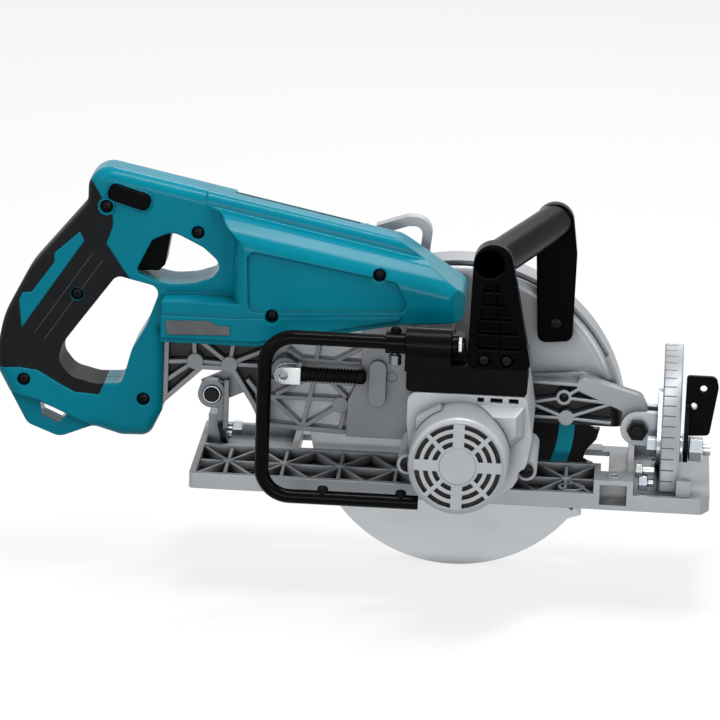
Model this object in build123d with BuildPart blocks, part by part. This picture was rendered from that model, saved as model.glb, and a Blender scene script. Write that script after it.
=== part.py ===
"""Cordless rear handle circular saw, blade on the left, shown at full cutting depth.

Frame: millimetres, +X forward along the cut, +Y to the saw's left (the blade side), +Z up.
The origin lies on the underside of the sole, below the arbor, in the parting plane of the handle.
"""

import os
from math import acos, atan2, cos, degrees, hypot, radians, sin, tan

from build123d import *

os.makedirs("parts", exist_ok=True)

# Blade and drive line, all along Y
blade_radius = 92.0
blade_plate = 1.4
blade_tooth_count = 24
blade_gullet = 7.0
blade_bore_gap = 0.1
arbor_z = 27.0
gear_module = 0.7
pinion_teeth = 10
gear_teeth = 42
gear_width = 9.0
gear_right = 0.0
motor_lean = 70.5
spindle_radius = 7.5
flange_radius = 17.0
flange_gap = 1.0
inner_flange_width = 6.0
outer_flange_width = 3.0
blade_bolt_radius = 4.0
blade_bolt_head_radius = 7.5
blade_bolt_head = 5.0
blade_bolt_reach = 16.0
lock_collar_radius = 9.5
lock_collar_width = 4.0
lock_pin_radius = 2.0
lock_pin_travel = 3.0
lock_button_radius = 5.0
lock_button_length = 6.0

# Clearances: running fits, seats that don't move, and plain air between moving pieces
run_clearance = 0.05
seat_clearance = 0.03
air = 0.5

# Bearings, each with its outside radius, bore and width
spindle_bearing = (16.0, spindle_radius, 9.0)
tail_bearing = (6.5, 3.0, 5.0)
rotor_bearing = (9.5, 3.5, 6.0)
cap_bearing = (6.5, 3.0, 5.0)

# Guards, with the room left between them and the blade
flange_depth = 8.0
upper_guard_wall = 3.0
upper_guard_round = 9.0
upper_guard_sill = 5.0
upper_guard_room = 9.6
upper_guard_side_room = 5.5
lower_guard_wall = 1.8
lower_guard_tip_room = 2.0
lower_guard_side_room = 7.0
lower_guard_gap = 0.9
lower_guard_lip = -36.0
lower_guard_lip_height = 5.0
lower_guard_tail = 116.0
lower_guard_window = 62.0
guard_boss_radius = 20.0
guard_hub_radius = 25.0
guard_spring_radius = 22.7
guard_spring_width = 3.0
guard_lever_ring = 31.0
guard_lever_gap = 1.0
guard_lever_thickness = 3.6
guard_lever_width = 9.0
guard_lever_range = 70.0
guard_lever_angle = 104.0
guard_lever_reach = 10.0

# Sole plate
sole_rear = -166.0
sole_nose = 21.5
sole_right = -55.0
sole_left_strip = 14.0
sole_thickness = 2.5
sole_wall = 4.0
sole_height = 10.0
sole_strip_height = 4.0
sole_chamfer = 10.0
rib_width = 2.0
blade_slot_rear_room = 1.2
blade_slot_front_room = 3.2
blade_slot_right_room = 10.5
blade_slot_left_room = 9.0
fence_setback = 3.5
fence_width = 17.0
fence_bar_height = 13.0
fence_bar_bottom = 3.0
fence_block_depth = 22.0
fence_block_height = 19.0
fence_screw_radius = 2.5
case_hollow_length = 72.0
case_hollow_right = -12.0
stop_block = 9.0

# Bevel hinge: its axis runs along X at the foot of the blade
bevel_z = 8.0
bevel_pin_radius = 2.5
bevel_lug_radius = 5.2
bevel_range = 53.0
quadrant_thickness = 9.0
quadrant_radius = 80.0
quadrant_rim = 8.0
quadrant_web = 5.0
quadrant_end = 82.0
bevel_bolt_radius = 4.0
bevel_bolt_land = 6.0
bevel_bolt_angle = 21.7
bevel_washer = 2.5
bevel_lever_plate = 3.0
bevel_nut = 8.0
bracket_plate = 4.0
rear_lug_thickness = 8.0
rear_lug_top = 24.0

# Depth hinge at the front and slotted depth guide at the rear, both along Y
depth_reach = 7.6
depth_z = 38.0
depth_range = 30.0
depth_pin_radius = 4.0
depth_ear_radius = 11.0
depth_ear_gap = 1.5
depth_ear_right = 2.0
depth_ear_thickness = 6.0
depth_barrel_width = 10.4
nut_radius = 6.8
nut_height = 6.0
guide_setback = 4.0
guide_z = 47.0
guide_ratio = 1.4
guide_right = 10.5
guide_thickness = 3.0
guide_half_width = 9.0
guide_boss_radius = 9.0
clamp_x = -110.0
clamp_z = 70.0
clamp_bolt_radius = 3.0
clamp_boss_radius = 8.0
depth_lever_y = -24.0
depth_lever_radius = 4.8
depth_lever_core = 2.8
depth_lever_tip = -57.5
depth_sleeve_rear = -99.0
clevis_cheek = 3.0
clevis_half_width = 7.0
clevis_half_height = 5.5

# Handle shells
grip_half_width = 17.0
grip_round = 8.0
shell_wall = 3.0
inner_ledge = 1.0
body_right = -38.0
body_left = 9.0
overmould = 2.5
panel_recess = 1.8
handle_screw_radius = 2.0
handle_screw_head_radius = 3.8
handle_screw_head = 3.0
head_clearance = 0.4
screw_boss_radius = 5.0
lug_screw_head = 4.6
trigger_half_width = 8.5
trigger_pin_radius = 1.5
button_length = 27.0
button_width = 10.5
button_tilt = -16.0
button_half_span = 19.0
button_gap = 0.25
plate_thickness = 0.6

# Motor and its housing
stator_radius = 24.0
stator_bore = 14.0
stator_length = 34.0
stator_right = -76.0
rotor_core_radius = 13.2
fan_radius = 22.0
fan_width = 8.0
fan_right = -38.0
fan_blade_count = 11
fan_blade = 1.6
housing_right = -90.0
housing_left = -10.0
housing_rear_wall = 4.0
cap_radius = 31.0
cap_right = -128.0
cap_wall = 2.5
cap_face = 3.0
cap_boss_radius = 9.5
grille_margin = 4.1
grille_pitch = 5.4
grille_slot = 2.9
grille_ring_count = 3
grille_spoke = 7.0
grille_thin_spoke = 2.8

# Hook and front handle, on the right-hand side
hook_y = -85.0
hook_z = 110.0
hook_rod_radius = 4.5
hook_rear = -118.0
hook_bottom = 7.0
hook_tip = -19.0
hook_bend = 18.0
stud_radius = 3.4
stud_height = 3.0
sleeve_radius = 10.5
sleeve_rear = -30.5
sleeve_front = -2.0
hook_base_right = -88.0
hook_base_left = -46.0
hook_base_bottom = 80.0
hook_base_top = 98.0
bar_radius = 11.5
bar_bore = 8.8
bar_near = (21.6, 164.6)
bar_far = (57.0, 166.8)
near_leg_right = -92.0
near_leg_left = -78.0
far_leg = 8.0
foot_screw_z = 103.0
foot_screw_places = (18.3, 32.5)
leg_rib = 1.4
leg_recess = 6.0

# Places worked out from the sizes above
shaft_distance = gear_module * (pinion_teeth + gear_teeth) / 2
lower_guard_radius = blade_radius + lower_guard_tip_room + lower_guard_wall
upper_guard_radius = lower_guard_radius + upper_guard_room + upper_guard_wall
depth_x = upper_guard_radius + depth_reach
arbor = (0.0, arbor_z)
motor = (shaft_distance * cos(radians(motor_lean)), arbor_z + shaft_distance * sin(radians(motor_lean)))
depth_pivot = (depth_x, depth_z)
clamp = (clamp_x, clamp_z)
gear_left = gear_right + gear_width
chamber_left = gear_left + 2 * lock_collar_width + 1.0
spindle_bearing_right = chamber_left + 0.2
upper_guard_right = chamber_left + flange_depth
right_wall_left = upper_guard_right + upper_guard_wall
guard_lever_right = right_wall_left + guard_lever_gap
guard_lever_left = guard_lever_right + guard_lever_thickness
lower_guard_right = guard_lever_left + lower_guard_gap
blade_right = lower_guard_right + lower_guard_wall + flange_gap + inner_flange_width
blade_left = blade_right + blade_plate
blade_y = (blade_right + blade_left) / 2
outer_wall_right = blade_left + lower_guard_side_room
lower_guard_left = outer_wall_right + lower_guard_wall
upper_guard_left = lower_guard_left + upper_guard_side_room
blade_slot_rear = -lower_guard_radius - lower_guard_lip_height - blade_slot_rear_room
blade_slot_front = lower_guard_radius + blade_slot_front_room
blade_slot_right = upper_guard_right - blade_slot_right_room
blade_slot_left = upper_guard_left + blade_slot_left_room
sole_left = blade_slot_left + sole_left_strip
fence_x = blade_slot_front + fence_setback
depth_ear_left = depth_ear_right + depth_ear_thickness
far_ear_right = depth_ear_left + depth_barrel_width + air
far_ear_left = far_ear_right + depth_ear_thickness
guide_left = guide_right + guide_thickness
front_plate_rear = depth_x + depth_ear_radius + depth_ear_gap
front_plate_front = front_plate_rear + bracket_plate
quadrant_rear = front_plate_front + air
quadrant_front = quadrant_rear + quadrant_thickness
sole_front = quadrant_front + sole_nose
bevel_bolt_orbit = quadrant_radius - quadrant_rim - bevel_bolt_land
rear_lug_rear = sole_rear + sole_wall
rear_plate_rear = rear_lug_rear + rear_lug_thickness + air
rear_plate_front = rear_plate_rear + bracket_plate
guide_x = rear_plate_rear - guide_setback
guide_pivot = (guide_x, guide_z)
lever_rear = quadrant_front + bevel_washer + 2 * air
lever_front = lever_rear + bevel_lever_plate
nut_rear = lever_front + air
strut_front = -188.0
body_bottom = [(strut_front, 90.0), (-128.0, 90.0), (-37.0, 109.0), (3.0, 112.0)]


def bottom_edge(x):
    """Height of the lower edge of the saw body at x."""
    for (x1, z1), (x2, z2) in zip(body_bottom, body_bottom[1:]):
        if x <= x2:
            return z1 + (z2 - z1) * (x - x1) / (x2 - x1)


def about(center, radius, angle):
    """Point at a radius and an angle from a centre."""
    return (center[0] + radius * cos(radians(angle)), center[1] + radius * sin(radians(angle)))


def bevel_point(radius, angle):
    """Y, Z of a point about the bevel hinge, the angle rising from the right-hand side of the sole."""
    return about((blade_y, bevel_z), radius, 180 - angle)


def upright(y):
    """Plane parallel to the blade, y to the left of the parting plane; extrusions run to the right."""
    return Plane.XZ.offset(-y)


def rod(center, radius, left, right, mode=Mode.ADD):
    """Round bar along Y between two upright planes."""
    with BuildSketch(upright(left)) as disc:
        with Locations(center):
            Circle(radius)
    extrude(disc.sketch, amount=left - right, mode=mode)


def hex_nut(center, radius, left, right):
    """Six-sided nut or bolt head along Y."""
    with BuildSketch(upright(left)) as face:
        with Locations(center):
            RegularPolygon(radius, 6)
    extrude(face.sketch, amount=left - right)


def slab(points, left, right, corner=0.0, mode=Mode.ADD):
    """Flat piece parallel to the blade with an X, Z outline, its corners rounded."""
    with BuildSketch(upright(left)) as face:
        with BuildLine():
            FilletPolyline(*points, radius=corner, close=True)
        make_face()
    extrude(face.sketch, amount=left - right, mode=mode)


def rib_lines(plane, lines, width):
    """Sketch of straight ribs, each from one point to another."""
    with BuildSketch(plane) as face:
        for (x1, y1), (x2, y2) in lines:
            turn = degrees(atan2(y2 - y1, x2 - x1))
            with Locations(Location(((x1 + x2) / 2, (y1 + y2) / 2, 0), (0, 0, turn))):
                Rectangle(hypot(x2 - x1, y2 - y1) + width / 2, width)
    return face.sketch


def strip(points, radii, width, left, right, mode=Mode.ADD):
    """Flat bar of even width parallel to the blade along a bent line."""
    with BuildSketch(upright(left)) as face:
        with BuildLine() as pen:
            FilletPolyline(*points, radius=radii)
        trace(pen.line, line_width=width)
    extrude(face.sketch, amount=left - right, mode=mode)


def sector(radius, start, end, left, right, mode=Mode.ADD):
    """Sector about the arbor from one angle to another, counted from +X towards +Z."""
    first = about(arbor, radius, start)
    middle = about(arbor, radius, (start + end) / 2)
    last = about(arbor, radius, end)
    with BuildSketch(upright(left)) as face:
        with BuildLine():
            Line(arbor, first)
            ThreePointArc(first, middle, last)
            Line(last, arbor)
        make_face()
    extrude(face.sketch, amount=left - right, mode=mode)


def box(x1, x2, y1, y2, z1, z2, mode=Mode.ADD):
    """Straight block between three pairs of planes."""
    with BuildSketch(Plane.XY.offset(z1)) as face:
        with Locations(((x1 + x2) / 2, (y1 + y2) / 2)):
            Rectangle(x2 - x1, y2 - y1)
    extrude(face.sketch, amount=z2 - z1, mode=mode)


def cross_rod(y, z, radius, rear, front, mode=Mode.ADD):
    """Round bar along X."""
    with BuildSketch(Plane.YZ.offset(rear)) as disc:
        with Locations((y, z)):
            Circle(radius)
    extrude(disc.sketch, amount=front - rear, mode=mode)


def ball_race(center, sizes, right):
    """Sealed ball bearing on an axis along Y, as one ring."""
    outside, bore, width = sizes
    rod(center, outside - seat_clearance, right + width, right)
    rod(center, bore + run_clearance, right + width, right, Mode.SUBTRACT)


def gear_outline(teeth, center, turn):
    """Involute spur gear outline with the middle of one tooth at the angle turn."""
    pitch = gear_module * teeth / 2
    base = pitch * cos(radians(25))
    tip = pitch + 0.85 * gear_module
    root = pitch - 1.2 * gear_module
    half_tooth = 0.43 * 180 / teeth

    def involute(radius):
        angle = acos(min(1.0, base / radius))
        return degrees(tan(angle) - angle)

    flank = [(root, half_tooth + involute(pitch))]
    for radius in (base, pitch, tip):
        if radius > root:
            flank.append((radius, half_tooth + involute(pitch) - involute(radius)))
    points = []
    for tooth in range(teeth):
        middle = turn + tooth * 360 / teeth
        points += [about(center, radius, middle - half) for radius, half in flank]
        points += [about(center, radius, middle + half) for radius, half in reversed(flank)]
    return points


pieces = {}

# Sole plate: cast magnesium tray with a truss of ribs, blade slot and fence tunnel
sole_outline = [
    (sole_rear, sole_right),
    (sole_front - sole_chamfer / 2, sole_right),
    (sole_front, sole_right + sole_chamfer),
    (sole_front, sole_left),
    (sole_rear, sole_left),
]
truss_rear = sole_rear + sole_wall
truss_front = fence_x - fence_width / 2 - sole_wall
truss_right = sole_right + sole_wall
truss_left = blade_slot_right - sole_wall
truss_middle = (truss_right + truss_left) / 2
truss_bays = 7
truss_pitch = (truss_front - truss_rear) / truss_bays
truss_lines = [((truss_rear, truss_middle), (truss_front, truss_middle))]
for bay in range(truss_bays):
    bay_start = truss_rear + bay * truss_pitch
    bay_middle = bay_start + truss_pitch / 2
    bay_end = bay_start + truss_pitch
    for side in (truss_right, truss_left):
        truss_lines.append(((bay_start, side), (bay_middle, truss_middle)))
        truss_lines.append(((bay_middle, truss_middle), (bay_end, side)))
    truss_lines.append(((bay_middle, truss_right), (bay_middle, truss_left)))
nose_rear = fence_x + fence_width / 2 + sole_wall
tail_left = blade_slot_left - sole_wall
with BuildPart() as base_plate:
    with BuildSketch():
        with BuildLine():
            FilletPolyline(*sole_outline, radius=3, close=True)
        make_face()
    extrude(amount=sole_height)
    box(truss_rear, truss_front, truss_right, truss_left, sole_thickness, sole_height, Mode.SUBTRACT)
    rib_height = sole_height - sole_thickness - 1
    extrude(rib_lines(Plane.XY.offset(sole_thickness), truss_lines, rib_width), amount=rib_height)
    box(nose_rear, quadrant_front, truss_right, tail_left, sole_thickness, sole_height, Mode.SUBTRACT)
    box(truss_rear, blade_slot_rear - sole_wall, blade_slot_right, tail_left,
        sole_thickness, sole_height, Mode.SUBTRACT)
    box(sole_rear, sole_front, blade_slot_left, sole_left, sole_strip_height, sole_height, Mode.SUBTRACT)
    half_hollow = case_hollow_length / 2
    box(-half_hollow, half_hollow, case_hollow_right, blade_slot_right,
        sole_thickness, sole_height, Mode.SUBTRACT)
    box(blade_slot_rear, blade_slot_front, blade_slot_right, blade_slot_left, 0, sole_height, Mode.SUBTRACT)
    fence_half = fence_width / 2
    fence_block_left = sole_right + fence_block_depth
    box(fence_x - fence_half - sole_wall, fence_x + fence_half + sole_wall, sole_right, fence_block_left,
        sole_thickness, fence_block_height)
    box(fence_x - fence_half, fence_x + fence_half, sole_right, sole_left,
        fence_bar_bottom, fence_bar_bottom + fence_bar_height, Mode.SUBTRACT)
    with Locations((fence_x, sole_right + fence_block_depth / 2, fence_block_height)):
        Hole(fence_screw_radius, depth=fence_block_height - fence_bar_height)
    box(rear_lug_rear, rear_lug_rear + rear_lug_thickness, blade_y - stop_block, blade_y + stop_block,
        sole_thickness, rear_lug_top)
    cross_rod(blade_y, bevel_z, bevel_pin_radius + seat_clearance,
              rear_lug_rear, rear_lug_rear + rear_lug_thickness, Mode.SUBTRACT)
    box(quadrant_front, quadrant_front + stop_block, truss_right, truss_right + stop_block,
        sole_thickness, 2 * sole_height)
pieces["base_plate"] = base_plate

# Bevel quadrant: upright arc on the front of the sole with a curved slot for the lock bolt
quadrant_slot = bevel_bolt_radius + 0.4
slot_start = bevel_bolt_angle - 0.5
slot_end = bevel_bolt_angle + bevel_range + 0.5
quadrant_setback = (quadrant_thickness - quadrant_web) / 2
hinge = (blade_y, bevel_z)


def bevel_arc(radius, start, end):
    """Arc about the bevel hinge between two of its angles."""
    ThreePointArc(*[bevel_point(radius, angle) for angle in (start, (start + end) / 2, end)])


with BuildPart() as bevel_quadrant:
    with BuildSketch(Plane.YZ.offset(quadrant_rear)):
        with BuildLine():
            Line(hinge, bevel_point(quadrant_radius, 0))
            bevel_arc(quadrant_radius, 0, quadrant_end)
            Line(bevel_point(quadrant_radius, quadrant_end), hinge)
        make_face()
    extrude(amount=quadrant_thickness)
    for side in (quadrant_rear, quadrant_front - quadrant_setback):
        with BuildSketch(Plane.YZ.offset(side)):
            with BuildLine():
                Line(hinge, bevel_point(quadrant_radius - quadrant_rim, 0))
                bevel_arc(quadrant_radius - quadrant_rim, 0, quadrant_end)
                Line(bevel_point(quadrant_radius - quadrant_rim, quadrant_end), hinge)
            make_face()
        extrude(amount=quadrant_setback, mode=Mode.SUBTRACT)
    box(quadrant_rear, quadrant_front, blade_y - quadrant_radius, blade_y + stop_block,
        sole_thickness, sole_height)
    box(quadrant_rear, quadrant_front, blade_y - stop_block, blade_y + stop_block,
        sole_thickness, bevel_z + stop_block)
    with BuildSketch(Plane.YZ.offset(quadrant_rear)):
        with BuildLine() as slot_line:
            bevel_arc(bevel_bolt_orbit, slot_start, slot_end)
        SlotArc(slot_line.edge(), 2 * quadrant_slot)
    extrude(amount=quadrant_thickness, mode=Mode.SUBTRACT)
    cross_rod(blade_y, bevel_z, bevel_pin_radius + seat_clearance,
              quadrant_rear, quadrant_front, Mode.SUBTRACT)
pieces["bevel_quadrant"] = bevel_quadrant

# Bevel pins: one in the quadrant at the front, one in the lug at the rear
with BuildPart() as bevel_pins:
    cross_rod(blade_y, bevel_z, bevel_pin_radius, front_plate_rear - 2, quadrant_front)
    cross_rod(blade_y, bevel_z, bevel_pin_radius, rear_lug_rear, rear_plate_front + 2)
pieces["bevel_pins"] = bevel_pins


def bracket_outline(plane, circles):
    """Sketch of a plate pulled tight round some circles, each (y, z, radius)."""
    with BuildSketch(plane) as face:
        with BuildLine():
            for y, z, radius in circles:
                CenterArc((y, z), radius, 0, 360)
        make_hull()
    return face.sketch


# Front bracket: plate that tilts against the quadrant, with two ears for the depth hinge
bolt_y, bolt_z = bevel_point(bevel_bolt_orbit, bevel_bolt_angle)
front_circles = [
    (blade_y, bevel_z, bevel_lug_radius),
    (bolt_y, bolt_z, 9),
    (depth_ear_right + 2, depth_z + 20, 7),
    (far_ear_left, depth_z + 10, 6),
]
with BuildPart() as front_bracket:
    front_plane = Plane.YZ.offset(front_plate_rear)
    extrude(bracket_outline(front_plane, front_circles), amount=bracket_plate)
    for ear_right in (depth_ear_right, far_ear_right):
        ear_left = ear_right + depth_ear_thickness
        rod(depth_pivot, depth_ear_radius, ear_left, ear_right)
        box(depth_x, front_plate_rear, ear_right, ear_left,
            depth_z - depth_ear_radius, depth_z + depth_ear_radius)
    rod(depth_pivot, depth_pin_radius + seat_clearance, far_ear_left, depth_ear_right, Mode.SUBTRACT)
    cross_rod(blade_y, bevel_z, bevel_pin_radius + run_clearance,
              front_plate_rear, front_plate_front, Mode.SUBTRACT)
    cross_rod(bolt_y, bolt_z, bevel_bolt_radius + seat_clearance,
              front_plate_rear, front_plate_front, Mode.SUBTRACT)
pieces["front_bracket"] = front_bracket

# Rear bracket: plate in front of the rear lug, with the boss the depth guide turns on
guide_boss_left = guide_right - 0.3
rear_elbow = (5.0, guide_z - 17, 4.9)
rear_head = (5.0, guide_z + 3, 4.9)
rear_foot = (blade_y, bevel_z, bevel_lug_radius)
with BuildPart() as rear_bracket:
    for circles in ([rear_foot, rear_elbow], [rear_elbow, rear_head]):
        extrude(bracket_outline(Plane.YZ.offset(rear_plate_rear), circles), amount=bracket_plate)
    rod(guide_pivot, guide_boss_radius, guide_boss_left, 0)
    box(guide_x, rear_plate_rear, 0, guide_boss_left,
        guide_z - guide_boss_radius, guide_z + guide_boss_radius)
    box(rear_plate_front, rear_plate_front + 3, -2, 3, guide_z - 22, guide_z + guide_boss_radius)
    rod(guide_pivot, depth_pin_radius + seat_clearance, guide_boss_left, 0, Mode.SUBTRACT)
    cross_rod(blade_y, bevel_z, bevel_pin_radius + run_clearance,
              rear_plate_rear, rear_plate_front, Mode.SUBTRACT)
pieces["rear_bracket"] = rear_bracket


def cross_hex(y, z, radius, rear, front):
    """Six-sided nut or bolt head along X."""
    with BuildSketch(Plane.YZ.offset(rear)) as face:
        with Locations((y, z)):
            RegularPolygon(radius, 6)
    extrude(face.sketch, amount=front - rear)


# Bevel lock: bolt through bracket and quadrant, clamp washer, lever with its flag, and nut
bevel_bolt_end = nut_rear + bevel_nut + 6
with BuildPart() as bevel_bolt:
    cross_hex(bolt_y, bolt_z, nut_radius, front_plate_rear - nut_height, front_plate_rear)
    cross_rod(bolt_y, bolt_z, bevel_bolt_radius, front_plate_rear, bevel_bolt_end)
pieces["bevel_bolt"] = bevel_bolt

with BuildPart() as bevel_clamp_washer:
    cross_rod(bolt_y, bolt_z, 9, quadrant_front + air, quadrant_front + air + bevel_washer)
    cross_rod(bolt_y, bolt_z, bevel_bolt_radius + seat_clearance, quadrant_front, lever_rear, Mode.SUBTRACT)
pieces["bevel_clamp_washer"] = bevel_clamp_washer

with BuildPart() as bevel_nut_piece:
    cross_hex(bolt_y, bolt_z, nut_radius + 1.5, nut_rear, nut_rear + bevel_nut)
    cross_rod(bolt_y, bolt_z, bevel_bolt_radius + seat_clearance,
              nut_rear, nut_rear + bevel_nut, Mode.SUBTRACT)
pieces["bevel_nut"] = bevel_nut_piece

flag_bottom = bolt_z + 9.5
flag_top = bolt_z + 48
flag_left = bolt_y + bevel_lever_plate / 2
flag_outline = [
    (lever_rear, flag_top),
    (lever_front + 16, flag_top),
    (lever_front + 17.5, flag_top - 7),
    (lever_front + 13, flag_bottom),
    (lever_rear, flag_bottom - 1),
]
with BuildPart() as bevel_lever:
    lever_circles = [(bolt_y, bolt_z, 9), (bolt_y, bolt_z + 25, 5)]
    extrude(bracket_outline(Plane.YZ.offset(lever_rear), lever_circles), amount=bevel_lever_plate)
    slab(flag_outline, flag_left, flag_left - bevel_lever_plate, [2, 4, 3, 3, 0.5])
    rod((lever_front + 8, flag_top - 8), 2.2, flag_left, flag_left - bevel_lever_plate, Mode.SUBTRACT)
    cross_rod(bolt_y, bolt_z, bevel_bolt_radius + run_clearance, lever_rear, lever_front, Mode.SUBTRACT)
pieces["bevel_lever"] = bevel_lever

# Depth hinge bolt and nut through both ears
with BuildPart() as depth_bolt:
    rod(depth_pivot, depth_pin_radius, far_ear_left, depth_ear_right - nut_height - 2)
    hex_nut(depth_pivot, nut_radius, far_ear_left + nut_height / 2, far_ear_left)
pieces["depth_bolt"] = depth_bolt

with BuildPart() as depth_nut:
    hex_nut(depth_pivot, nut_radius, depth_ear_right, depth_ear_right - nut_height)
    rod(depth_pivot, depth_pin_radius + seat_clearance, depth_ear_right, depth_ear_right - nut_height,
        Mode.SUBTRACT)
pieces["depth_nut"] = depth_nut

# Depth guide: slotted link on the rear bracket; its slot follows the clamp bolt as the saw swings
clamp_slot = clamp_bolt_radius + 0.5


def turned(point, center, angle):
    """Point turned about a centre, clockwise as seen from the right-hand side."""
    x, z = point[0] - center[0], point[1] - center[1]
    a = radians(angle)
    return (center[0] + x * cos(a) + z * sin(a), center[1] + z * cos(a) - x * sin(a))


def slot_point(swing):
    """Place of the clamp bolt in the depth guide, as drawn at full depth, for a swing of the saw."""
    return turned(turned(clamp, depth_pivot, swing), guide_pivot, guide_ratio * swing)


swing_step = depth_range / 6
with BuildPart() as depth_guide:
    for half_width, mode in ((guide_half_width, Mode.ADD), (clamp_slot, Mode.SUBTRACT)):
        with BuildSketch(upright(guide_left)) as guide_face:
            with BuildLine() as slot_path:
                for leg in range(3):
                    ThreePointArc(*[slot_point((2 * leg + part) * swing_step) for part in range(3)])
            trace(slot_path.line, line_width=2 * half_width)
            for end in (slot_point(0), slot_point(depth_range)):
                with Locations(end):
                    Circle(half_width)
        extrude(guide_face.sketch, amount=guide_thickness, mode=mode)
        if mode == Mode.ADD:
            rod(guide_pivot, guide_boss_radius, guide_left, guide_right)
            link = rib_lines(upright(guide_left), [(guide_pivot, clamp)], 2 * guide_half_width)
            extrude(link, amount=guide_thickness)
    rod(guide_pivot, depth_pin_radius + run_clearance, guide_left, guide_right, Mode.SUBTRACT)
pieces["depth_guide"] = depth_guide

with BuildPart() as guide_bolt:
    rod(guide_pivot, depth_pin_radius, guide_left + 0.3, 0)
    hex_nut(guide_pivot, nut_radius, 0, -nut_height / 2)
    rod(guide_pivot, nut_radius + 1, guide_left + nut_height / 2, guide_left + 0.3)
pieces["guide_bolt"] = guide_bolt

# Ribbed rear frame between handle, gear case and depth clamp
frame_web_left = 2.0
frame_web_right = -1.0
frame_rib_right = -11.0
frame_front = -30.0
frame_foot = 28.0
cover_right = -16.0
frame_outline = [
    (strut_front, bottom_edge(strut_front)),
    (-128, bottom_edge(-128)),
    (-37, bottom_edge(-37)),
    (frame_front, bottom_edge(frame_front)),
    (frame_front, frame_foot),
    (-75, frame_foot),
    (-124, frame_foot + 2),
    (-131, frame_foot + 16),
    (-145, frame_foot + 38),
    (-163, frame_foot + 38),
    (strut_front, frame_foot + 14),
]
frame_rib_width = 2.6
frame_boss_radius = 5.2
frame_bosses = [(-168, 71), (-146, 70), (-74, 47)]
rear_boss, frame_hub, front_boss = frame_bosses
frame_ribs = [
    ((strut_front, 69.5), rear_boss),
    ((strut_front, 56), rear_boss),
    ((-169.5, 89), rear_boss),
    (rear_boss, frame_hub),
    ((-170, 88), frame_hub),
    ((-143, 89), frame_hub),
    ((-118, 83), frame_hub),
    ((-118, 70), frame_hub),
    ((-124, 48), (-134, 60)),
    ((-122, 60), (-98, 62)),
    ((-115, 52), (-97, 62)),
    ((-128, 50), (-76, 50)),
    ((-91.5, 62), (-98, 31)),
    ((-118, 49), (-98, 31)),
    ((-96, 32), front_boss),
    ((-81, 62), (-71, 52)),
    ((-71, 44), (-74, 30)),
    ((-100, 62), (-64, 61)),
    ((-100, 75.5), (-62, 74.5)),
    ((-88, 97), (-90.5, 75)),
    ((-79, 75), (-60, 86)),
    ((-108, 81), (-99, 75)),
]
cover_outline = [
    (-62, bottom_edge(-62)),
    (-37, bottom_edge(-37)),
    (frame_front, bottom_edge(frame_front)),
    (frame_front, frame_foot),
    (-69.5, frame_foot),
    (-69, 52),
    (-61, 70),
]
guide_face_gap = 0.3
with BuildPart() as rear_frame:
    slab(frame_outline, frame_web_left, frame_rib_right)
    with BuildSketch(upright(frame_web_right)):
        with BuildLine():
            Polyline(*frame_outline, close=True)
        make_face()
        offset(amount=-rib_width - 1, mode=Mode.REPLACE)
    extrude(amount=frame_web_right - frame_rib_right, mode=Mode.SUBTRACT)
    with BuildSketch(upright(frame_web_right)):
        add(rib_lines(Plane.XY, frame_ribs, frame_rib_width))
        with BuildLine():
            Polyline(*frame_outline, close=True)
        make_face(mode=Mode.INTERSECT)
    extrude(amount=frame_web_right - frame_rib_right - 1)
    slab(cover_outline, frame_web_left, cover_right)
    for boss in frame_bosses:
        rod(boss, frame_boss_radius, frame_web_left, frame_rib_right)
    slab([(-56, 50), (-45, 50), (-45, 80), (-56, 80)], cover_right, cover_right - 5, 5.4)
    rod(clamp, clamp_boss_radius, guide_right - guide_face_gap,
        depth_lever_y + clevis_half_width + guide_face_gap)
    rod(clamp, clamp_bolt_radius + seat_clearance, guide_right, depth_lever_y, Mode.SUBTRACT)
pieces["rear_frame"] = rear_frame

# Gear case: holds the tail bearing, the front rotor bearing and the shaft lock
case_right = -10.0
case_left = gear_left
case_rear_wall = gear_right - 1
case_top = hook_base_bottom
case_outline = [
    (frame_front, frame_foot),
    (frame_front, bottom_edge(frame_front)),
    (-4, bottom_edge(-4)),
    (-4, case_top),
    (46, case_top),
    (46, 40),
    (24, 12),
    (18, 8),
    (-16, 8),
]
gear_chamber = gear_module * gear_teeth / 2 + gear_module * 0.85 + 0.7
pinion_chamber = gear_module * pinion_teeth / 2 + gear_module * 0.85 + 1.9
chamber_wall = 3.5
lock_y = gear_left + lock_collar_width / 2 + 0.2
lock_boss_front = 28.0
with BuildPart() as gear_case:
    slab(case_outline, case_left, case_right)
    rod(arbor, gear_chamber + chamber_wall, chamber_left, case_left)
    rod(motor, pinion_chamber + chamber_wall, chamber_left, case_left)
    cross_rod(lock_y, arbor_z, lock_button_radius + 1, gear_chamber, lock_boss_front)
    box(-upper_guard_radius, upper_guard_radius, chamber_left, chamber_left + gear_width,
        0, upper_guard_radius, Mode.SUBTRACT)
    rod(arbor, gear_chamber, chamber_left, case_rear_wall, Mode.SUBTRACT)
    rod(motor, pinion_chamber, chamber_left, case_rear_wall, Mode.SUBTRACT)
    rod(arbor, tail_bearing[0], case_rear_wall, case_rear_wall - tail_bearing[2] - 1, Mode.SUBTRACT)
    rod(motor, rotor_bearing[0], case_right + rotor_bearing[2], case_right, Mode.SUBTRACT)
    rod(motor, pinion_chamber - 1, case_rear_wall, case_right, Mode.SUBTRACT)
    cross_rod(lock_y, arbor_z, lock_pin_radius + run_clearance, 0, lock_boss_front, Mode.SUBTRACT)
    cross_rod(lock_y, arbor_z, lock_button_radius + 1, lock_boss_front, 60, Mode.SUBTRACT)
pieces["gear_case"] = gear_case


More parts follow.
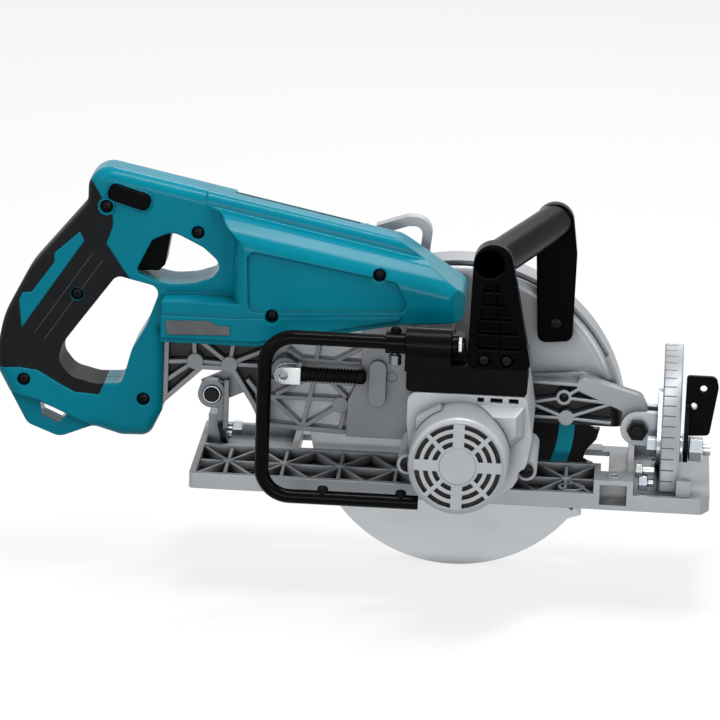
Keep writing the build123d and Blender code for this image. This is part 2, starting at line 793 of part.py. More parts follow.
# Upper guard: drum over the blade, bearing flange, front arm and depth hinge barrel
flange_circles = [(0, arbor_z, 24), (motor[0], motor[1], 14)]
guard_boss_left = lower_guard_right + lower_guard_wall - 0.3
barrel_right = depth_ear_left + air / 2
barrel_left = barrel_right + depth_barrel_width
arm_rear = 46.0
arm_front = depth_x - depth_ear_radius - 6
arm_boss = (arm_front - 18, 63.0)
arm_hole = (arm_front - 31, 54.5)
arm_foot = (arm_front - 29, 41.0)
arm_outline = [
    (arm_rear, 66), (arm_boss[0], 69), (arm_front, 60), (arm_front, 35), (arm_foot[0], 36), (arm_rear, 37),
]
arm_corners = [2, 6, 3, 3, 4, 2]
arm_ribs = [
    ((arm_rear, 64), arm_boss),
    ((arm_rear, 50), arm_hole),
    (arm_hole, arm_boss),
    (arm_hole, (arm_front, 52)),
    ((arm_rear, 50), arm_foot),
    (arm_foot, (arm_front, 39)),
    (arm_foot, (arm_front, 52)),
    ((arm_rear, 41), arm_foot),
]
barrel_end = (depth_x, depth_z, depth_ear_radius - air)
barrel_knee = (depth_x - 3, depth_z + 14, 7)
barrel_root = (*arm_boss, 5)
lever_slot_half = guard_lever_thickness / 2 + 0.8
guard_lever_middle = guard_lever_right + guard_lever_thickness / 2
with BuildPart() as guard_room:
    rod(arbor, upper_guard_radius - upper_guard_wall, upper_guard_left - upper_guard_wall, right_wall_left)
    room_edges = guard_room.edges().filter_by(GeomType.CIRCLE)
    fillet(room_edges.sort_by(Axis.Y)[0], upper_guard_round - upper_guard_wall)

with BuildPart() as upper_guard:
    rod(arbor, upper_guard_radius, upper_guard_left, upper_guard_right)
    drum_edges = upper_guard.edges().filter_by(GeomType.CIRCLE)
    fillet(drum_edges.sort_by(Axis.Y)[0], upper_guard_round)
    add(guard_room.part, mode=Mode.SUBTRACT)
    sector(upper_guard_radius + 1, guard_lever_angle + 6, guard_lever_angle - guard_lever_range - 6,
           guard_lever_middle + lever_slot_half, right_wall_left, Mode.SUBTRACT)
    rod(arbor, blade_bolt_head_radius + 9, upper_guard_left, right_wall_left, Mode.SUBTRACT)
    sill_reach = upper_guard_radius + 1
    box(-sill_reach, sill_reach, upper_guard_right, upper_guard_left,
        arbor_z - sill_reach, arbor_z + upper_guard_sill, Mode.SUBTRACT)
    rod(arbor, guard_lever_ring - 1, right_wall_left, upper_guard_right)
    rod(arbor, guard_boss_radius, guard_boss_left, upper_guard_right)
    extrude(bracket_outline(upright(upper_guard_right), flange_circles), amount=flange_depth)
    slab(arm_outline, upper_guard_right, upper_guard_right - 6, arm_corners)
    with BuildSketch(upright(upper_guard_right)):
        add(rib_lines(Plane.XY, arm_ribs, rib_width))
        with BuildLine():
            FilletPolyline(*arm_outline, radius=arm_corners, close=True)
        make_face(mode=Mode.INTERSECT)
    extrude(amount=upper_guard_right - barrel_right)
    for boss in (arm_boss, arm_hole, arm_foot):
        rod(boss, 5, upper_guard_right, barrel_right)
    rod(arm_hole, 3, barrel_left, barrel_right, Mode.SUBTRACT)
    for circles in ([barrel_root, barrel_knee], [barrel_knee, barrel_end]):
        extrude(bracket_outline(upright(barrel_left), circles), amount=depth_barrel_width)
    rod(depth_pivot, depth_pin_radius + run_clearance, barrel_left, barrel_right, Mode.SUBTRACT)
    rod(arbor, spindle_bearing[0], spindle_bearing_right + spindle_bearing[2], chamber_left, Mode.SUBTRACT)
    rod(arbor, spindle_radius + 1.5, guard_boss_left, chamber_left, Mode.SUBTRACT)
pieces["upper_guard"] = upper_guard

with BuildPart() as spindle_bearings:
    ball_race(arbor, spindle_bearing, spindle_bearing_right)
    ball_race(arbor, tail_bearing, case_rear_wall - tail_bearing[2] - 1)
pieces["spindle_bearings"] = spindle_bearings

# Lower guard: swings round the boss of the upper guard, with a pocket for its spring
hub_right = right_wall_left + 0.6
spring_left = hub_right + 0.2 + guard_spring_width
inner_wall_left = lower_guard_right + lower_guard_wall
with BuildPart() as lower_guard:
    sector(lower_guard_radius, lower_guard_tail, 360 + lower_guard_lip, lower_guard_left, lower_guard_right)
    rod(arbor, lower_guard_radius - lower_guard_wall, outer_wall_right, inner_wall_left, Mode.SUBTRACT)
    rod(arbor, lower_guard_window, lower_guard_left, outer_wall_right, Mode.SUBTRACT)
    lip_top = lower_guard_radius + lower_guard_lip_height
    lip_corners = ((lower_guard_radius - 1.5, 2), (lip_top, 1), (lower_guard_radius - 0.5, -4))
    slab([about(arbor, radius, lower_guard_lip + turn) for radius, turn in lip_corners],
         lower_guard_left, lower_guard_right)
    rod(arbor, guard_hub_radius, inner_wall_left, hub_right)
    rod(arbor, guard_boss_radius + run_clearance, inner_wall_left, hub_right, Mode.SUBTRACT)
    rod(arbor, guard_spring_radius + 0.3, spring_left + 0.3, hub_right, Mode.SUBTRACT)
pieces["lower_guard"] = lower_guard

with BuildPart() as guard_spring:
    rod(arbor, guard_spring_radius, spring_left, hub_right + 0.2)
    rod(arbor, guard_boss_radius, spring_left, hub_right, Mode.SUBTRACT)
pieces["guard_spring"] = guard_spring

# Guard lever: ring round the hub of the lower guard, arm out through the drum, curled thumb piece
lever_root = about(arbor, guard_lever_ring - 3, guard_lever_angle)
lever_neck = about(arbor, upper_guard_radius + guard_lever_reach, guard_lever_angle)
curl_steps = ((2.6, -3.9), (4.8, 18.3), (-8.4, 18.3), (-27.9, 11.5))
curl_width = 6.2
lever_curl = [(lever_neck[0] + x, lever_neck[1] + z) for x, z in curl_steps]
with BuildPart() as guard_lever:
    rod(arbor, guard_lever_ring, guard_lever_left, guard_lever_right)
    arm_line = [(lever_root, lever_neck)]
    extrude(rib_lines(upright(guard_lever_left), arm_line, guard_lever_width), amount=guard_lever_thickness)
    rod(arbor, guard_hub_radius + run_clearance, guard_lever_left, guard_lever_right, Mode.SUBTRACT)
    strip(lever_curl, [8, 9], curl_width, guard_lever_left + 6, guard_lever_right)
    extrude(rib_lines(upright(guard_lever_left), [(lever_neck, lever_curl[0])], guard_lever_width),
            amount=guard_lever_thickness)
pieces["guard_lever"] = guard_lever

# Spindle with the notched lock collar, gear, flanges, blade and blade bolt
spindle_nose = blade_left - 0.4
gear_turn = motor_lean
with BuildPart() as spindle:
    rod(arbor, tail_bearing[1], 0, case_rear_wall - tail_bearing[2])
    rod(arbor, spindle_radius, spindle_nose, gear_right - 0.5)
    rod(arbor, lock_collar_radius, gear_left + 0.2 + lock_collar_width, gear_left + 0.2)
    with BuildSketch(upright(gear_left + 0.2 + lock_collar_width)):
        with Locations(arbor):
            with PolarLocations(lock_collar_radius, 4):
                Rectangle(2 * (lock_collar_radius - spindle_radius), 2 * lock_pin_radius + 1.4)
            Circle(spindle_radius, mode=Mode.SUBTRACT)
    extrude(amount=lock_collar_width, mode=Mode.SUBTRACT)
    rod(arbor, blade_bolt_radius + seat_clearance, spindle_nose, spindle_nose - blade_bolt_reach,
        Mode.SUBTRACT)
pieces["spindle"] = spindle

with BuildPart() as spindle_gear:
    slab(gear_outline(gear_teeth, arbor, gear_turn), gear_left, gear_right)
    rod(arbor, spindle_radius + seat_clearance, gear_left, gear_right, Mode.SUBTRACT)
pieces["spindle_gear"] = spindle_gear

with BuildPart() as inner_flange:
    rod(arbor, flange_radius, blade_right, blade_right - inner_flange_width)
    rod(arbor, flange_radius - 3, blade_right, blade_right - 1, Mode.SUBTRACT)
    rod(arbor, spindle_radius + seat_clearance, blade_right, blade_right - inner_flange_width, Mode.SUBTRACT)
pieces["inner_flange"] = inner_flange

tooth_pitch = 360 / blade_tooth_count
blade_points = []
for tooth in range(blade_tooth_count):
    tooth_start = tooth * tooth_pitch
    blade_points.append(about(arbor, blade_radius - blade_gullet, tooth_start))
    blade_points.append(about(arbor, blade_radius - blade_gullet, tooth_start + 0.24 * tooth_pitch))
    blade_points.append(about(arbor, blade_radius - 1.5, tooth_start + 0.62 * tooth_pitch))
    blade_points.append(about(arbor, blade_radius, tooth_start + 0.93 * tooth_pitch))
with BuildPart() as blade:
    slab(blade_points, blade_left, blade_right)
    rod(arbor, spindle_radius + blade_bore_gap, blade_left, blade_right, Mode.SUBTRACT)
    for slot in range(4):
        slot_angle = (6 * slot + 0.12) * tooth_pitch
        slot_ends = [(about(arbor, blade_radius - 20, slot_angle), about(arbor, blade_radius, slot_angle))]
        extrude(rib_lines(upright(blade_left), slot_ends, 1.2), amount=blade_plate, mode=Mode.SUBTRACT)
        rod(about(arbor, blade_radius - 20, slot_angle), 2, blade_left, blade_right, Mode.SUBTRACT)
pieces["blade"] = blade

with BuildPart() as outer_flange:
    rod(arbor, flange_radius, blade_left + outer_flange_width, blade_left)
    rod(arbor, blade_bolt_radius + seat_clearance, blade_left + outer_flange_width, blade_left,
        Mode.SUBTRACT)
pieces["outer_flange"] = outer_flange

with BuildPart() as blade_bolt:
    bolt_seat = blade_left + outer_flange_width
    hex_nut(arbor, blade_bolt_head_radius, bolt_seat + blade_bolt_head, bolt_seat)
    rod(arbor, blade_bolt_radius, bolt_seat, spindle_nose - blade_bolt_reach + 2)
pieces["blade_bolt"] = blade_bolt

# Shaft lock: push button and pin that drops into the collar
lock_tip = lock_collar_radius + 1.4
with BuildPart() as shaft_lock:
    cross_rod(lock_y, arbor_z, lock_pin_radius, lock_tip, lock_boss_front + lock_pin_travel + 0.5)
    cross_rod(lock_y, arbor_z, lock_button_radius, lock_boss_front + lock_pin_travel + 0.5,
              lock_boss_front + lock_pin_travel + 0.5 + lock_button_length)
pieces["shaft_lock"] = shaft_lock

# Motor housing with vents, stator, windings, rotor and fan
housing_outline = [
    (-28, case_top), (46, case_top), (50.5, 54), (48, 37), (40, 22), (28, 12.5), (-14, 12.5), (-24, 30),
    (-28, 60),
]
housing_corners = [6, 4, 6, 6, 5, 4, 6, 6, 4]
housing_wall = 4.0
shoulder_outline = [(-21.5, 66.5), (-7, 74.5), (-1.5, 68), (-1.5, 44), (-21.5, 44)]
shoulder_right = -104.0
housing_bore = stator_radius + 0.2
pad_outline = [(12, 73.6), (45.4, 74.6), (45.6, 55), (36, 45.5), (12, 45.5)]
pad_height = 9.0
lug_screws = {(47.6, 29.0): (housing_left, -76.0), (-27.0, 29.0): (cover_right - air, -76.0)}
lug_radius = 6.5
vent_spans = ((15.5, 19.5), (23.5, 31), (35, 41))
vent_sill = 1.2
vent_height = 2.8
with BuildPart() as motor_housing:
    slab(housing_outline, housing_left, housing_right, housing_corners)
    slab(shoulder_outline, housing_right, shoulder_right)
    with BuildSketch(upright(housing_right)):
        with BuildLine():
            Polyline(*pad_outline, close=True)
        make_face()
    extrude(amount=pad_height, taper=30)
    for place, (lug_left, lug_right) in lug_screws.items():
        rod(place, lug_radius, lug_left, lug_right)
    rod(motor, cap_radius + 0.3, housing_right, shoulder_right, Mode.SUBTRACT)
    rod(motor, housing_bore, housing_left - housing_rear_wall, housing_right, Mode.SUBTRACT)
    rod(motor, rotor_bearing[0] - 1.5, housing_left, housing_left - housing_rear_wall, Mode.SUBTRACT)
    with BuildSketch(upright(housing_left)):
        with BuildLine():
            FilletPolyline(*housing_outline, radius=housing_corners, close=True)
        make_face()
        offset(amount=-housing_wall, kind=Kind.INTERSECTION, mode=Mode.REPLACE)
        with Locations(motor):
            Circle(housing_bore + housing_wall - 1, mode=Mode.SUBTRACT)
        with Locations(*lug_screws):
            Circle(lug_radius, mode=Mode.SUBTRACT)
    extrude(amount=housing_left - housing_right - housing_wall, mode=Mode.SUBTRACT)
    for rear, front in vent_spans:
        box(rear, front, housing_right, housing_right + 2 * housing_wall,
            pad_outline[1][1] + vent_sill, pad_outline[1][1] + vent_sill + vent_height, Mode.SUBTRACT)
    for place, (lug_left, lug_right) in lug_screws.items():
        rod(place, handle_screw_radius + seat_clearance, lug_left, lug_right, Mode.SUBTRACT)
        rod(place, lug_screw_head + head_clearance, lug_right, shoulder_right, Mode.SUBTRACT)
pieces["motor_housing"] = motor_housing

with BuildPart() as stator:
    rod(motor, stator_radius, stator_right + stator_length, stator_right)
    rod(motor, stator_bore, stator_right + stator_length, stator_right, Mode.SUBTRACT)
    rod(motor, stator_radius + 0.2, stator_right + stator_length, stator_right + stator_length - 4)
    rod(motor, stator_bore, stator_right + stator_length, stator_right, Mode.SUBTRACT)
pieces["stator"] = stator

with BuildPart() as windings:
    rod(motor, stator_radius - 2, stator_right + stator_length + 3, stator_right + stator_length)
    rod(motor, stator_radius - 2, stator_right, stator_right - 5)
    rod(motor, stator_bore + 1, stator_right + stator_length + 3, stator_right - 5, Mode.SUBTRACT)
pieces["windings"] = windings

rotor_right = -118.0
cap_journal_left = -111.5
pinion_turn = motor_lean + 180 + 180 / pinion_teeth
with BuildPart() as rotor_shaft:
    rod(motor, cap_bearing[1], cap_journal_left, rotor_right)
    rod(motor, rotor_bearing[1], case_rear_wall - 1, cap_journal_left)
    slab(gear_outline(pinion_teeth, motor, pinion_turn), gear_left + 0.3, case_rear_wall - 1)
pieces["rotor_shaft"] = rotor_shaft

with BuildPart() as rotor_core:
    rod(motor, rotor_core_radius, stator_right + stator_length, stator_right)
    rod(motor, rotor_bearing[1] + seat_clearance, stator_right + stator_length, stator_right, Mode.SUBTRACT)
pieces["rotor_core"] = rotor_core

with BuildPart() as fan:
    rod(motor, fan_radius, fan_right + 2, fan_right)
    with BuildSketch(upright(fan_right + fan_width)):
        with Locations(motor):
            with PolarLocations(fan_radius / 2 + 4, fan_blade_count):
                Rectangle(fan_radius - 9, fan_blade)
            Circle(rotor_bearing[1] + 4)
    extrude(amount=fan_width - 2)
    rod(motor, rotor_bearing[1] + seat_clearance, fan_right + fan_width, fan_right, Mode.SUBTRACT)
pieces["fan"] = fan

# Motor end cap with its grille and rear bearing
cap_bearing_right = cap_journal_left - cap_bearing[2] - 0.5
with BuildPart() as motor_end_cap:
    rod(motor, cap_radius, housing_right, cap_right)
    fillet(motor_end_cap.edges().sort_by(Axis.Y)[0], cap_face)
    rod(motor, cap_radius - cap_wall, housing_right, cap_right + cap_face, Mode.SUBTRACT)
    rod(motor, cap_boss_radius, cap_bearing_right + cap_bearing[2], cap_right)
    with BuildSketch(upright(cap_right + cap_face)):
        with Locations(motor):
            for ring in range(grille_ring_count):
                outside = cap_radius - grille_margin - ring * grille_pitch
                Circle(outside)
                Circle(outside - grille_slot, mode=Mode.SUBTRACT)
            for turn in range(4):
                Rectangle(2 * cap_radius, grille_spoke, rotation=90 * turn, mode=Mode.SUBTRACT)
                Rectangle(2 * cap_radius, grille_thin_spoke, rotation=45 + 90 * turn, mode=Mode.SUBTRACT)
    extrude(amount=cap_face, mode=Mode.SUBTRACT)
    rod(motor, cap_bearing[0], cap_bearing_right + cap_bearing[2], cap_bearing_right, Mode.SUBTRACT)
    rod(motor, cap_bearing[0] - 2, cap_bearing_right, rotor_right - 1, Mode.SUBTRACT)
pieces["motor_end_cap"] = motor_end_cap

with BuildPart() as rotor_bearings:
    ball_race(motor, rotor_bearing, case_right)
    ball_race(motor, cap_bearing, cap_bearing_right)
pieces["rotor_bearings"] = rotor_bearings

with BuildPart() as motor_screws:
    for place, (lug_left, lug_right) in lug_screws.items():
        rod(place, handle_screw_radius, lug_left, lug_right)
        rod(place, lug_screw_head, lug_right, lug_right - handle_screw_head)
pieces["motor_screws"] = motor_screws

# Depth lock lever: clevis on the clamp bolt, steel core and ribbed rubber sleeve
clevis_front = depth_sleeve_rear
clevis_rear = clamp_x - clevis_half_height
clevis_right = depth_lever_y - clevis_half_width
clevis_left = depth_lever_y + clevis_half_width
with BuildPart() as depth_lever:
    box(clamp_x, clevis_front, clevis_right, clevis_left,
        clamp_z - clevis_half_height, clamp_z + clevis_half_height)
    rod(clamp, clevis_half_height, clevis_left, clevis_right)
    box(clevis_rear, clevis_front - clevis_cheek, clevis_right + clevis_cheek, clevis_left - clevis_cheek,
        clamp_z - clevis_half_height, clamp_z + clevis_half_height, Mode.SUBTRACT)
    cross_rod(depth_lever_y, clamp_z, depth_lever_core, clevis_front - clevis_cheek, depth_lever_tip - 4)
    rod(clamp, clamp_bolt_radius + run_clearance, clevis_left, clevis_right, Mode.SUBTRACT)
pieces["depth_lever"] = depth_lever

sleeve_ring_pitch = 2.2
with BuildPart() as depth_lever_sleeve:
    cross_rod(depth_lever_y, clamp_z, depth_lever_radius, clevis_front, depth_lever_tip)
    fillet(depth_lever_sleeve.edges().sort_by(Axis.X)[-1], 3)
    ring_count = int((depth_lever_tip - clevis_front) / sleeve_ring_pitch) - 3
    for ring in range(ring_count):
        ring_x = clevis_front + 4 + ring * sleeve_ring_pitch
        with BuildSketch(Plane.YZ.offset(ring_x)):
            with Locations((depth_lever_y, clamp_z)):
                Circle(depth_lever_radius + 1)
                Circle(depth_lever_radius - 0.7, mode=Mode.SUBTRACT)
        extrude(amount=1, mode=Mode.SUBTRACT)
    cross_rod(depth_lever_y, clamp_z, depth_lever_core + seat_clearance, clevis_front, depth_lever_tip - 4,
              Mode.SUBTRACT)
pieces["depth_lever_sleeve"] = depth_lever_sleeve

# Clamp bolt through frame boss and guide slot, with its nut on the left
clamp_head_left = clevis_left - clevis_cheek - 0.3
clamp_nut_right = guide_left + 0.3
with BuildPart() as depth_clamp_bolt:
    rod(clamp, clamp_bolt_radius, clamp_nut_right + nut_height, clamp_head_left)
    rod(clamp, clevis_half_height - 1.5, clamp_head_left, clamp_head_left - nut_height)
pieces["depth_clamp_bolt"] = depth_clamp_bolt

with BuildPart() as depth_clamp_nut:
    hex_nut(clamp, nut_radius, clamp_nut_right + nut_height, clamp_nut_right)
    rod(clamp, clamp_bolt_radius + seat_clearance, clamp_nut_right + nut_height, clamp_nut_right,
        Mode.SUBTRACT)
pieces["depth_clamp_nut"] = depth_clamp_nut

# Handle outlines as seen from the right
top_rear = (-239.0, 198.5)
top_front = (-41.0, 159.0)
top_slope = atan2(top_front[1] - top_rear[1], top_front[0] - top_rear[0])
body_rear = -151.0
grip_front = body_rear + 5


def top_edge(x):
    """Height of the straight top of the saw at x."""
    return top_rear[1] + (x - top_rear[0]) * tan(top_slope)


grip_outline = [
    top_rear, (grip_front, top_edge(grip_front)), (grip_front, 90), (strut_front, 90), (strut_front, 38),
    (-196, 20.5), (-214, 20), (-232, 25), (-254, 16), (-275, 24), (-294.5, 60), (-295, 74), (-291, 96),
    (-275, 128), (-239, 172),
]
grip_corners = [14, 0, 0, 0, 9, 9, 9, 9, 10, 9, 9, 9, 60, 60, 12]
hand_opening = [
    (-219, 126.5), (-190.5, 120), (-199, 95), (-208, 79), (-214, 55.5), (-231, 54.5), (-247, 58.5),
    (-255.5, 69), (-252.5, 80), (-244, 92),
]
hand_corners = [6, 6, 30, 20, 5, 20, 12, 9, 14, 40]
trigger_opening = [
    (-197, 151), (-184, 157), (-164, 147.5), (-155.5, 140), (-153.3, 134.5), (-158, 128), (-170, 123.8),
    (-184, 122.3), (-196, 124.8), (-207, 129.5),
]
trigger_corners = [6, 12, 20, 7, 4.5, 9, 18, 28, 18, 3]
loop_setback = [(-300, 49), (-268, 42), (-234, 27), (-234, 0), (-300, 0)]
loop_half_width = 9.0
strap_slit = [(-267, 38.5), (-249.5, 31.5), (-254.5, 25), (-266, 30)]
skin_region = [
    (-300, 190), (-245, 188.5), (-235.5, 186), (-231.5, 180), (-226, 169.5), (-222.5, 165), (-222, 159),
    (-226, 147), (-213, 128), (-200, 112), (-230, 60), (-222.5, 62), (-228.5, 47.5), (-244, 48.5),
    (-252, 52.5), (-268, 61.5), (-280, 63), (-300, 61.5),
]
inlay = [
    (-243, 154), (-240, 148), (-279, 89), (-281, 107), (-279, 112), (-273, 113), (-259, 133), (-259, 139),
]
trigger_pivot = (-190.0, 157.0)
trigger_hollow = [(-182, 162), (-213.5, 162), (-217, 129.5), (-207, 126.5), (-190, 127), (-182, 150)]
switch_outline = [(-239, 139), (-214, 139), (-214, 164), (-239, 164)]
button_place = (-212.0, 178.0)
trigger_pin_end = grip_half_width - shell_wall - 1
screw_places = [(-226.5, 171), (-168, 157), (-244, 113), (-277, 55), (-200, 46)]
body_screw_places = [(-118, 110), (-51, 140)]
outer_skin = grip_half_width - overmould


def grip_block(width, inset, rounded):
    """Half of the grip, from the parting plane to the right, drawn in by an inset, its edges rounded."""
    with BuildPart(mode=Mode.PRIVATE) as block:
        with BuildSketch(upright(0)) as side:
            with BuildLine():
                FilletPolyline(*grip_outline, radius=grip_corners, close=True)
            make_face()
            if inset:
                offset(amount=-inset, kind=Kind.INTERSECTION, mode=Mode.REPLACE)
        extrude(side.sketch, amount=width)
        face = block.faces().sort_by(Axis.Y)[0]
        if rounded:
            behind_body = face.outer_wire().edges().filter_by_position(Axis.X, -300, -147, (True, True))
            fillet(behind_body.filter_by(lambda edge: edge.center().X < -152), rounded)
        for outline, corners in ((hand_opening, hand_corners), (trigger_opening, trigger_corners)):
            with BuildSketch(upright(0)) as hole:
                with BuildLine():
                    FilletPolyline(*outline, radius=corners, close=True)
                make_face()
                if inset and outline is hand_opening:
                    offset(amount=inset, kind=Kind.ARC, mode=Mode.REPLACE)
            extrude(hole.sketch, amount=width, mode=Mode.SUBTRACT)
    return block.part


grip_form = grip_block(grip_half_width, 0, grip_round)
grip_core = grip_block(outer_skin, overmould, grip_round - overmould)


def cut_skin():
    """Keep of the rubber skin: inside its region, outside the core, without the bare inlay."""
    slab(skin_region, 0, -grip_half_width - 1, mode=Mode.INTERSECT)
    add(grip_core, mode=Mode.SUBTRACT)
    slab(inlay, -outer_skin + 4, -grip_half_width - 1, mode=Mode.SUBTRACT)


# Rubber skins of the grip, right and left alike
with BuildPart() as grip_right:
    add(grip_form)
    cut_skin()
    for place in screw_places:
        rod(place, handle_screw_head_radius + 0.6, 0, -grip_half_width - 1, Mode.SUBTRACT)
pieces["grip_right"] = grip_right

with BuildPart() as grip_left:
    add(mirror(grip_right.part, about=Plane.XZ))
pieces["grip_left"] = grip_left

# Saw body: side outline cut to a section that runs along the sloping top
body_front = body_bottom[-1][0]
ridge_rear = (body_rear - 12, 172.0)
flare_knee = (body_rear, 153.0)
body_outline = body_bottom + [
    (body_front, 130), top_front, (ridge_rear[0], top_edge(ridge_rear[0])), ridge_rear, flare_knee,
    (body_rear, 118), (strut_front, 116),
]
body_corners = [0, 0, 30, 5, 6, 16, 0, 0, 0, 0, 0]
nose_radius = 13.0
section_run = body_front - top_rear[0] + 2 * nose_radius
body_section = [
    (-grip_half_width, 0), (-grip_half_width, -8), (-26, -10), (body_right, -19), (body_right, -section_run),
    (body_left, -section_run), (body_left, 0),
]
section_corners = [6, 2, 5, 14, 0, 0, 5]
flare_bottom = 117.0
flare_length = 17.0
past_side = body_right - air
flare_start = (0, -grip_half_width)
flare_middle = (flare_length / 2, (past_side - grip_half_width) / 2)
flare_end = (flare_length, past_side)
flare_behind = -60.0
flare_rise = (ridge_rear[0] - flare_knee[0], ridge_rear[1] - flare_knee[1])
low_flare = Plane(origin=(body_rear, 0, flare_bottom), x_dir=(1, 0, 0), z_dir=(0, 0, 1))
high_flare = Plane(
    origin=(flare_knee[0], 0, flare_knee[1]), x_dir=(flare_rise[1], 0, -flare_rise[0]),
    z_dir=(flare_rise[0], 0, flare_rise[1]),
)
nose_start = (body_front - nose_radius, past_side)
nose_end = (body_front + air, past_side + nose_radius)
section_plane = Plane(
    origin=(top_rear[0], 0, top_rear[1]), x_dir=(0, 1, 0), z_dir=(cos(top_slope), 0, sin(top_slope)),
)
groove_start, groove_length, groove_y, groove_width = 80.0, 96.0, 2.5, 4.0
panel_outline = [(-133, 112), (-30, 117), (-40, 136), (-135, 152)]
ledge_outline = [(strut_front, 93), (-128, 93), (-37, 112), (-37, 114), (-140, 108), (strut_front, 108)]
hollow_outline = [(-131, 113), (-128, 98), (-45, 116), (-8, 118), (-8, 124), (-42, 140), (-131, 156.4)]
controller_rear, controller_front = -128.0, -62.0
controller_bottom, controller_top = 118.0, 140.0
controller_right, controller_left = body_right + shell_wall + inner_ledge, -8.0


def flare_sketch(plane):
    """Room behind the S-shaped flare from the grip's side to the body's."""
    with BuildSketch(plane) as flare:
        with BuildLine():
            first = TangentArc(flare_start, flare_middle, tangent=(1, 0))
            TangentArc(flare_middle, flare_end, tangent=first % 1)
            Polyline(flare_end, (flare_end[0], 2 * body_right), (flare_behind, 2 * body_right),
                     (flare_behind, -grip_half_width), flare_start)
        make_face()
    return flare.sketch


def behind_flare():
    """Room behind the upright flare and the slanting one that leads up to the ridge."""
    with BuildPart(mode=Mode.PRIVATE) as room:
        extrude(flare_sketch(low_flare), amount=section_run)
        extrude(flare_sketch(high_flare), amount=section_run, both=True, mode=Mode.INTERSECT)
    return room.part


def body_half(left, right):
    """Saw body between two upright planes."""
    with BuildPart(mode=Mode.PRIVATE) as half:
        slab(body_outline, body_left, body_right, body_corners)
        with BuildSketch(section_plane) as section:
            with BuildLine():
                FilletPolyline(*body_section, radius=section_corners, close=True)
            make_face()
        extrude(section.sketch, amount=section_run, mode=Mode.INTERSECT)
        add(behind_flare(), mode=Mode.SUBTRACT)
        with BuildSketch() as nose:
            with BuildLine():
                TangentArc(nose_start, nose_end, tangent=(1, 0))
                Polyline(nose_end, (nose_end[0], 2 * body_right), (nose_start[0], 2 * body_right),
                         nose_start)
            make_face()
        extrude(nose.sketch, amount=section_run, mode=Mode.SUBTRACT)
        with BuildSketch(section_plane.offset(groove_start)) as groove:
            with Locations((groove_y, 0)):
                Rectangle(groove_width, groove_width / 2)
        extrude(groove.sketch, amount=groove_length, mode=Mode.SUBTRACT)
        slab(panel_outline, body_right + panel_recess, body_right, 5, Mode.SUBTRACT)
        box(-300, 50, left, body_left + 1, 0, 250, Mode.SUBTRACT)
        box(-300, 50, body_right - 1, right, 0, 250, Mode.SUBTRACT)
    return half.part


def button_sketch(plane, gap):
    """Rounded outline of the lock-off button, or of its slot with a gap round it."""
    with BuildSketch(plane) as face:
        with Locations(Location((*button_place, 0), (0, 0, button_tilt))):
            RectangleRounded(button_length + 2 * gap, button_width + 2 * gap, button_width / 2 - 1)
    return face.sketch


def grip_hollow():
    """Sketch of the hollow inside the grip, clear of its openings and screw bosses."""
    with BuildSketch(upright(trigger_half_width)) as face:
        with BuildLine():
            FilletPolyline(*grip_outline, radius=grip_corners, close=True)
        make_face()
        offset(amount=-overmould - shell_wall, kind=Kind.INTERSECTION, mode=Mode.REPLACE)
        for outline, corners in ((hand_opening, hand_corners), (trigger_opening, trigger_corners)):
            with BuildSketch(Plane.XY, mode=Mode.PRIVATE) as hole:
                with BuildLine():
                    FilletPolyline(*outline, radius=corners, close=True)
                make_face()
                offset(amount=overmould + shell_wall, kind=Kind.ARC, mode=Mode.REPLACE)
            add(hole.sketch, mode=Mode.SUBTRACT)
        with Locations(*screw_places):
            Circle(screw_boss_radius, mode=Mode.SUBTRACT)
        with BuildLine():
            Polyline(*loop_setback, close=True)
        make_face(mode=Mode.SUBTRACT)
    return face.sketch


def finish_shell(left, right):
    """Hollows and openings that both handle shells share, with bosses left round the screws."""
    extrude(grip_hollow(), amount=2 * trigger_half_width, mode=Mode.SUBTRACT)
    slab(hollow_outline, body_left - shell_wall, controller_right, 3, Mode.SUBTRACT)
    for place in body_screw_places:
        rod(place, screw_boss_radius, min(left, body_left), max(right, body_right + 2))
    slab(trigger_opening, left, right, trigger_corners, Mode.SUBTRACT)
    slab(hand_opening, left, right, hand_corners, Mode.SUBTRACT)
    slab(trigger_hollow, trigger_half_width + 1, -trigger_half_width - 1, 0, Mode.SUBTRACT)
    slab(switch_outline, trigger_half_width, -trigger_half_width, 0, Mode.SUBTRACT)
    slab(strap_slit, left, right, 0.5, Mode.SUBTRACT)
    rod(trigger_pivot, trigger_pin_radius + seat_clearance, trigger_pin_end, -trigger_pin_end, Mode.SUBTRACT)
    extrude(button_sketch(upright(left), button_gap), amount=left - right, mode=Mode.SUBTRACT)
    for place in screw_places:
        rod(place, handle_screw_radius + seat_clearance, grip_half_width - 4, -grip_half_width,
            Mode.SUBTRACT)
    for place in body_screw_places:
        rod(place, handle_screw_radius + seat_clearance, body_left - 3, body_right, Mode.SUBTRACT)


screw_sink = 2.0
head_seat = -grip_half_width + screw_sink + handle_screw_head
body_head_seat = body_right + panel_recess + screw_sink + handle_screw_head
with BuildPart() as handle_right:
    add(grip_form)
    add(grip_right.part, mode=Mode.SUBTRACT)
    add(body_half(0, body_right))
    slab(ledge_outline, body_right + 6, body_right - 1.5, 0)
    slab(loop_setback, -loop_half_width, -grip_half_width - 1, 0, Mode.SUBTRACT)
    finish_shell(0, body_right - 5)
    for place in screw_places:
        rod(place, handle_screw_head_radius + head_clearance, head_seat, -grip_half_width - 1, Mode.SUBTRACT)
    for place in body_screw_places:
        rod(place, handle_screw_head_radius + head_clearance, body_head_seat, body_right - 2, Mode.SUBTRACT)
pieces["handle_right"] = handle_right

